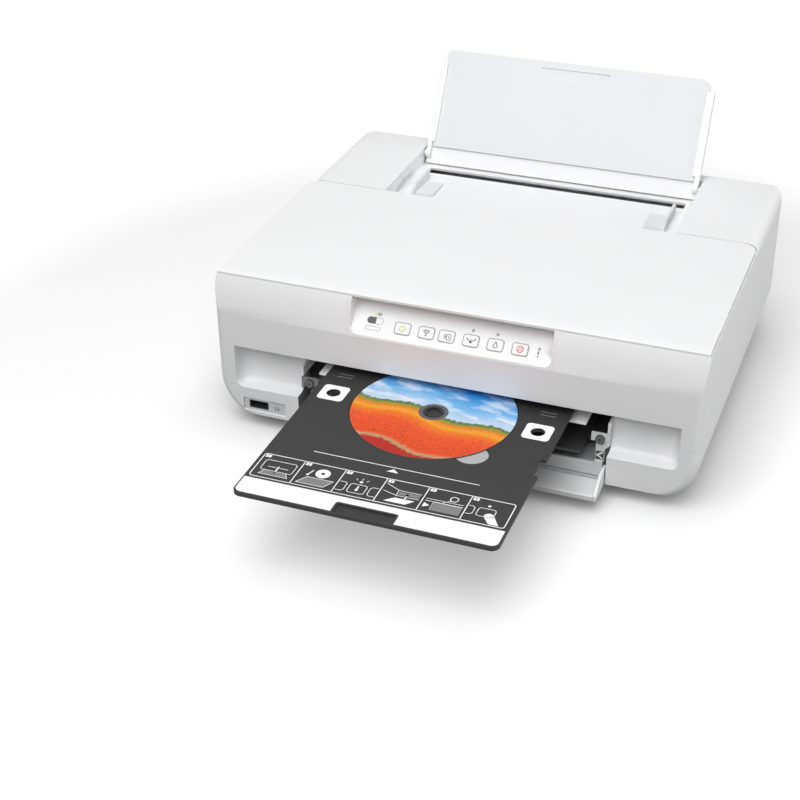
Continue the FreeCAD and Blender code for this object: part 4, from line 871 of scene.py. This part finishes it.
badges = bmesh.new()
band(badges, rounded(-6.2, 9.9, 6.2, 14.9, 2.4), 0.4, closed=True)
band(badges, rounded(-6.6, 5.0, 5.2, 7.9, 1.3), 0.35, closed=True)
printed("panel_badges", badges, outline_ink, "casing", on_panel(badge_x, 0, print_out))
badge_fill = bmesh.new()
fill(badge_fill, arc(-3.8, 12.4, 2.4, 90, 270, 12) + [(0.6, 10.0), (0.6, 14.8)])
printed("badge_fill", badge_fill, symbol_ink, "casing", on_panel(badge_x, 0, print_out + 0.01))

lamp_split_x = -58.0 * mm


def lamp_material():
    """Clear lamp windows: unlit and grey, apart from the left half of the bar, which glows green."""
    material = plastic("lamp_window", (0.30, 0.30, 0.31), 0.25, grain=0.01)
    nodes, links = material.node_tree.nodes, material.node_tree.links
    shader = nodes["Principled BSDF"]
    place = nodes.new("ShaderNodeTexCoord")
    parts = nodes.new("ShaderNodeSeparateXYZ")
    links.new(place.outputs["Object"], parts.inputs["Vector"])
    lit = nodes.new("ShaderNodeMath")
    lit.operation = "LESS_THAN"
    lit.inputs[1].default_value = lamp_split_x
    links.new(parts.outputs["X"], lit.inputs[0])
    glow = nodes.new("ShaderNodeMix")
    glow.data_type = "RGBA"
    glow.inputs["B"].default_value = (0.70, 0.78, 0.30, 1.0)
    links.new(lit.outputs[0], glow.inputs["Factor"])
    links.new(nodes["tint"].outputs["Result"], glow.inputs["A"])
    links.new(glow.outputs["Result"], shader.inputs["Base Color"])
    return material


softened("status_lamps", "casing", lamp_material(), 0.0)


# ---- Beside the tray: two rails that guide it, two brackets with screws, and the host port in the left leg.
# The rails and port plate are pale grey mouldings. The right bracket is pale; the left one is painted dark as
# painted shade, for the shade it stands in. The screws are blackened steel.

rail_grey = plastic("rail_grey", (0.90, 0.90, 0.905), 0.42)
bracket_grey = plastic("bracket_grey", (0.70, 0.705, 0.71), 0.45)
bracket_painted_shade = plastic("bracket_painted_shade", (0.20, 0.20, 0.205), 0.45)
black_screw = plastic("black_screw", (0.16, 0.16, 0.165), 0.35, metallic=0.6)
port_plate = plastic("port_plate", (0.66, 0.665, 0.675), 0.4)
port_steel = plastic("port_steel", (0.05, 0.05, 0.052), 0.4, metallic=0.3)
for side in ("left", "right"):
    softened(f"tray_guide_{side}", "casing", rail_grey, 0.15 * mm)
# the left bracket's dark grey is painted shade
softened("bracket_left", "casing", bracket_painted_shade, 0.2 * mm)
softened("bracket_right", "casing", bracket_grey, 0.2 * mm)
softened("bracket_screws", "casing", black_screw, 0.1 * mm)
softened("usb_plate", "casing", port_plate, 0.15 * mm)
softened("usb_socket", "casing", port_steel, 0.0)


def on_front(x, y, z):
    """Takes a drawing in mm to an upright face that looks forward."""
    return Matrix.Translation((x * mm, front_y + y * mm, z * mm)) @ Matrix.Rotation(math.pi / 2, 4, "X")


screw_x = 113.6
screw_z = 44.0
screw_face = 6.0
head_r = 3.1
cross_long = 1.7
cross_wide = 0.8
# a black cross printed in each screw head's recess is painted shade, with a dark ring drawn round the head
for side, x in (("left", -screw_x), ("right", screw_x)):
    recess = bmesh.new()
    band(recess, [(-cross_long, 0), (cross_long, 0)], cross_wide)
    band(recess, [(0, -cross_long), (0, -cross_wide / 2)], cross_wide)
    band(recess, [(0, cross_wide / 2), (0, cross_long)], cross_wide)
    band(recess, circle(0, 0, head_r, 32), 0.5, closed=True)
    printed(f"screw_recess_shade_{side}", recess, black_ink, "casing", on_front(x, screw_face - print_out, screw_z))

# a white chevron on the right bracket's foot shows where the tray's edge goes
chevron_x = 113.85
chevron_z = 29.8
chevron_face = 8.0
chevron_plate = bmesh.new()
fill(chevron_plate, rounded(-2.9, -3.6, 2.9, 3.6, 0.4, 2))
place = on_front(chevron_x, chevron_face - print_out, chevron_z)
printed("chevron_plate", chevron_plate, symbol_ink, "casing", place)
chevron = bmesh.new()
band(chevron, [(2.1, 2.9), (-1.9, 0.0), (2.1, -2.9)], 1.3)
printed("chevron", chevron, white_ink, "casing", Matrix.Translation((0, -print_out * mm, 0)) @ place)

# a small plug beside the host port
plug_x = -139.0
plug_z = 18.9
port_face = 1.2
plug_line = 0.45
plug = bmesh.new()
band(plug, rounded(-1.7, -1.2, 0.9, 1.2, 0.4, 3), plug_line, closed=True)
for stroke in ([(0.9, 0.55), (2.1, 0.55)], [(0.9, -0.55), (2.1, -0.55)], [(-1.7, 0), (-2.7, 0)]):
    band(plug, stroke, plug_line)
printed("plug_mark", plug, symbol_ink, "casing", on_front(plug_x, port_face - print_out, plug_z))


# ---- Inside: steel frame, rollers, print carriage with six cartridges, belt and drive.
# The frame is zinc plated sheet; its dark grey here is painted shade for the dim inside. The gears are
# natural acetal and the rest is black plastic and rubber.

steel = plastic("zinc_steel", (0.50, 0.50, 0.51), 0.38, metallic=0.9, mottle=0.08)
ground_rod = plastic("ground_rod", (0.62, 0.62, 0.63), 0.16, metallic=1.0, grain=0.01)
frame_painted_shade = plastic("frame_painted_shade", (0.035, 0.035, 0.037), 0.45, metallic=0.5)
dark_inside = plastic("dark_inside", (0.014, 0.014, 0.015), 0.5)
case_grey = plastic("case_grey", (0.06, 0.06, 0.062), 0.5)
rubber = plastic("rubber", (0.018, 0.018, 0.018), 0.75)
natural = plastic("natural_acetal", (0.70, 0.68, 0.62), 0.4)
film = plastic("film", (0.25, 0.26, 0.28), 0.2, grain=0.0)
board_green = plastic("board_green", (0.03, 0.16, 0.07), 0.4)
eased = 0.12 * mm
inner_pieces = (
    # the chassis is coloured near black as painted shade for the dim inside
    (frame_painted_shade, "casing", "bare_steel", ("chassis",)),
    (ground_rod, "casing", "ground_steel", ("carriage_rod",)),
    (steel, "casing", "motor_can", ("feed_motor", "carriage_motor")),
    (dark_inside, "casing", "dark_plastic", ("platen", "cap_station", "ac_inlet", "data_port")),
    (dark_inside, "print_carriage", "dark_plastic", ("carriage", "print_head")),
    (case_grey, "print_carriage", "cartridge_case", tuple(f"ink_cartridge_{i}" for i in range(1, 7))),
    (case_grey, "casing", "supply_case", ("power_supply",)),
    (rubber, "feed", "roller_rubber", ("feed_roller",)),
    (rubber, "eject", "roller_rubber", ("eject_roller",)),
    (rubber, "pinch", "roller_rubber", ("pinch_roller",)),
    (rubber, "casing", "roller_rubber", ("rubber_feet", "timing_belt")),
    (natural, "feed", "gear_plastic", ("feed_gear",)),
    (natural, "eject", "gear_plastic", ("eject_gear",)),
    (natural, "idler", "gear_plastic", ("idler_gear",)),
    (natural, "pinion", "gear_plastic", ("motor_pinion",)),
    (natural, "drive_pulley", "gear_plastic", ("motor_pulley",)),
    (natural, "return_pulley", "gear_plastic", ("idler_pulley",)),
    (steel, "stars", "gear_plastic", ("star_wheels",)),
    (film, "casing", "clear_film", ("encoder_strip",)),
    (board_green, "casing", "circuit_board", ("main_board",)),
)
for material, body, slot, nodes in inner_pieces:
    for node in nodes:
        softened(node, body, material, 0.0 if body in ("stars", "feed", "eject") else eased)

label_colours = ((0.012, 0.012, 0.012), (0.02, 0.30, 0.55), (0.60, 0.03, 0.22), (0.80, 0.62, 0.03),
                 (0.35, 0.60, 0.72), (0.75, 0.38, 0.50))
label_long = 26.0
label_margin = 1.6
label_back = -4.0
number_back = -10.0
number_high = 7.0
for i, colour in enumerate(label_colours, start=1):
    low, high = [[value / mm for value in corner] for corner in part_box(f"ink_cartridge_{i}")]
    half = (high[0] - low[0]) / 2 - label_margin
    top = Matrix.Translation(((low[0] + high[0]) / 2 * mm, (low[1] + high[1]) / 2 * mm,
                              high[2] * mm + ink_lift))
    paper = bmesh.new()
    fill(paper, rounded(-half, label_back - label_long / 2, half, label_back + label_long / 2, 0.8, 3))
    printed(f"cartridge_label_{i}", paper, plastic(f"label_{i}", colour, 0.4, grain=0.02),
            "print_carriage", top)
    number = bmesh.new()
    figure(number, i, 0, number_back, number_high)
    printed(f"cartridge_number_{i}", number, white_ink, "print_carriage",
            Matrix.Translation((0, 0, ink_lift)) @ top)

# the belt's teeth, along its two straight runs
belt_low, belt_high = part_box("timing_belt")
tooth_pitch = 2.032 * mm
tooth_high = 0.5 * mm
tooth_root = 0.1 * mm
tooth_inset = 0.2 * mm
belt_thick = 1.2 * mm
pulley_room = 12 * mm
inner_top = belt_high[2] - belt_thick
inner_low = belt_low[2] + belt_thick
first_x = belt_low[0] + pulley_room
teeth = int((belt_high[0] - belt_low[0] - 2 * pulley_room) / tooth_pitch)
for name, z0, z1 in (("upper_belt_teeth", inner_top - tooth_high, inner_top + tooth_root),
                     ("lower_belt_teeth", inner_low - tooth_root, inner_low + tooth_high)):
    tooth = block((first_x, belt_low[1] + tooth_inset, z0),
                  (first_x + tooth_pitch / 2, belt_high[1] - tooth_inset, z1))
    row(name, tooth, teeth, (tooth_pitch, 0, 0), rubber, "casing")


# ---- Studio: a white floor that runs out into white, keeps the shadows and throws little light back.
# One broad lamp stands in front, a weaker one hangs overhead and a low one fills the right side.

sky_seen = 1.0
sky_light = 0.08
floor_seen = 0.66
floor_light = 0.15
near_glow = 0.34      # of the floor's own light, close to the machine
far_glow = 1.0
glow_from = 0.45      # metres from the middle
glow_to = 0.9
contact_reach = 0.06
floor_half = 6.0


def white_for_camera(tree, socket, seen, unseen):
    """Drives a strength or a grey: seen for camera, mirror and glass rays, unseen for the light on things."""
    path = tree.nodes.new("ShaderNodeLightPath")
    first = tree.nodes.new("ShaderNodeMath")
    first.operation = "ADD"
    second = tree.nodes.new("ShaderNodeMath")
    second.operation = "ADD"
    second.use_clamp = True
    spread = tree.nodes.new("ShaderNodeMapRange")
    spread.inputs["To Min"].default_value = unseen
    spread.inputs["To Max"].default_value = seen
    tree.links.new(path.outputs["Is Camera Ray"], first.inputs[0])
    tree.links.new(path.outputs["Is Glossy Ray"], first.inputs[1])
    tree.links.new(first.outputs[0], second.inputs[0])
    tree.links.new(path.outputs["Is Transmission Ray"], second.inputs[1])
    tree.links.new(second.outputs[0], spread.inputs["Value"])
    tree.links.new(spread.outputs["Result"], socket)


def floor_material():
    """White paint whose own light fades towards the machine and is darkened by painted contact shade in the
    corners under it.
    """
    material = bpy.data.materials.new("floor_paint")
    material.use_nodes = True
    nodes, links = material.node_tree.nodes, material.node_tree.links
    shader = nodes["Principled BSDF"]
    shader.inputs["Roughness"].default_value = 0.9
    white_for_camera(material.node_tree, shader.inputs["Base Color"], floor_seen, floor_light)
    white_for_camera(material.node_tree, shader.inputs["Emission Strength"], 1.0, 0.0)
    place = nodes.new("ShaderNodeTexCoord")
    away = nodes.new("ShaderNodeVectorMath")
    away.operation = "LENGTH"
    links.new(place.outputs["Object"], away.inputs[0])
    whiter = nodes.new("ShaderNodeMapRange")
    whiter.inputs["From Min"].default_value = glow_from
    whiter.inputs["From Max"].default_value = glow_to
    whiter.inputs["To Min"].default_value = near_glow
    whiter.inputs["To Max"].default_value = far_glow
    links.new(away.outputs["Value"], whiter.inputs["Value"])
    # painted contact shade: ambient occlusion darkens the floor's own light under and beside the machine
    corners = nodes.new("ShaderNodeAmbientOcclusion")
    corners.inputs["Distance"].default_value = contact_reach
    shaded = nodes.new("ShaderNodeMix")
    shaded.data_type = "RGBA"
    shaded.blend_type = "MULTIPLY"
    shaded.inputs["Factor"].default_value = 1.0
    links.new(whiter.outputs["Result"], shaded.inputs["A"])
    links.new(corners.outputs["Color"], shaded.inputs["B"])
    links.new(shaded.outputs["Result"], shader.inputs["Emission Color"])
    return material


world = bpy.data.worlds.new("studio")
bpy.context.scene.world = world
world.use_nodes = True
sky = world.node_tree.nodes["Background"]
sky.inputs["Color"].default_value = (1, 1, 1, 1)
white_for_camera(world.node_tree, sky.inputs["Strength"], sky_seen, sky_light)

floor_mesh = bpy.data.meshes.new("floor")
floor_mesh.from_pydata([(-floor_half, -floor_half, 0), (floor_half, -floor_half, 0),
                        (floor_half, floor_half, 0), (-floor_half, floor_half, 0)], [], [(0, 1, 2, 3)])
floor = bpy.data.objects.new("floor", floor_mesh)
bpy.context.collection.objects.link(floor)
floor_mesh.materials.append(floor_material())


def lamp(name, place, aim, size, power):
    """A round soft lamp: size across in metres, power in watts."""
    light = bpy.data.lights.new(name, "AREA")
    light.shape = "DISK"
    light.size = size
    light.energy = power
    holder = bpy.data.objects.new(name, light)
    holder.location = place
    holder.rotation_euler = (Vector(aim) - Vector(place)).to_track_quat("-Z", "Y").to_euler()
    bpy.context.collection.objects.link(holder)


lamp("overhead", (0.0, 0.1, 1.85), (0, -0.05, 0.08), 1.8, 12.0)
lamp("front", (-0.05, -1.22, 1.68), (0, -0.05, 0.08), 2.2, 38.5)
lamp("right_fill", (2.2, -0.05, 0.22), (0, 0, 0.1), 1.2, 22.0)

bpy.context.scene.view_settings.view_transform = "Standard"

# the camera, its place measured from the middle of the machine's front face at table height
camera_from_front = (0.3309, -0.9346, 0.6695)
camera_azimuth = math.radians(21.491)
camera_elevation = math.radians(31.686)
camera_roll = math.radians(-0.851)
camera_lens = 71.81
camera_film = 36.0

right = Vector((math.cos(camera_azimuth), math.sin(camera_azimuth), 0))
ahead = Vector((-math.sin(camera_azimuth) * math.cos(camera_elevation),
                math.cos(camera_azimuth) * math.cos(camera_elevation), -math.sin(camera_elevation)))
up = right.cross(ahead)
rolled_right = right * math.cos(camera_roll) + up * math.sin(camera_roll)
rolled_up = up * math.cos(camera_roll) - right * math.sin(camera_roll)
camera_data = bpy.data.cameras.new("camera")
camera_data.lens = camera_lens
camera_data.sensor_width = camera_film
camera = bpy.data.objects.new("camera", camera_data)
bpy.context.collection.objects.link(camera)
turn = Matrix((rolled_right, rolled_up, -ahead)).transposed().to_4x4()
camera.matrix_world = Matrix.Translation(
    (camera_from_front[0], camera_from_front[1] + front_y, camera_from_front[2])) @ turn
bpy.context.scene.camera = camera
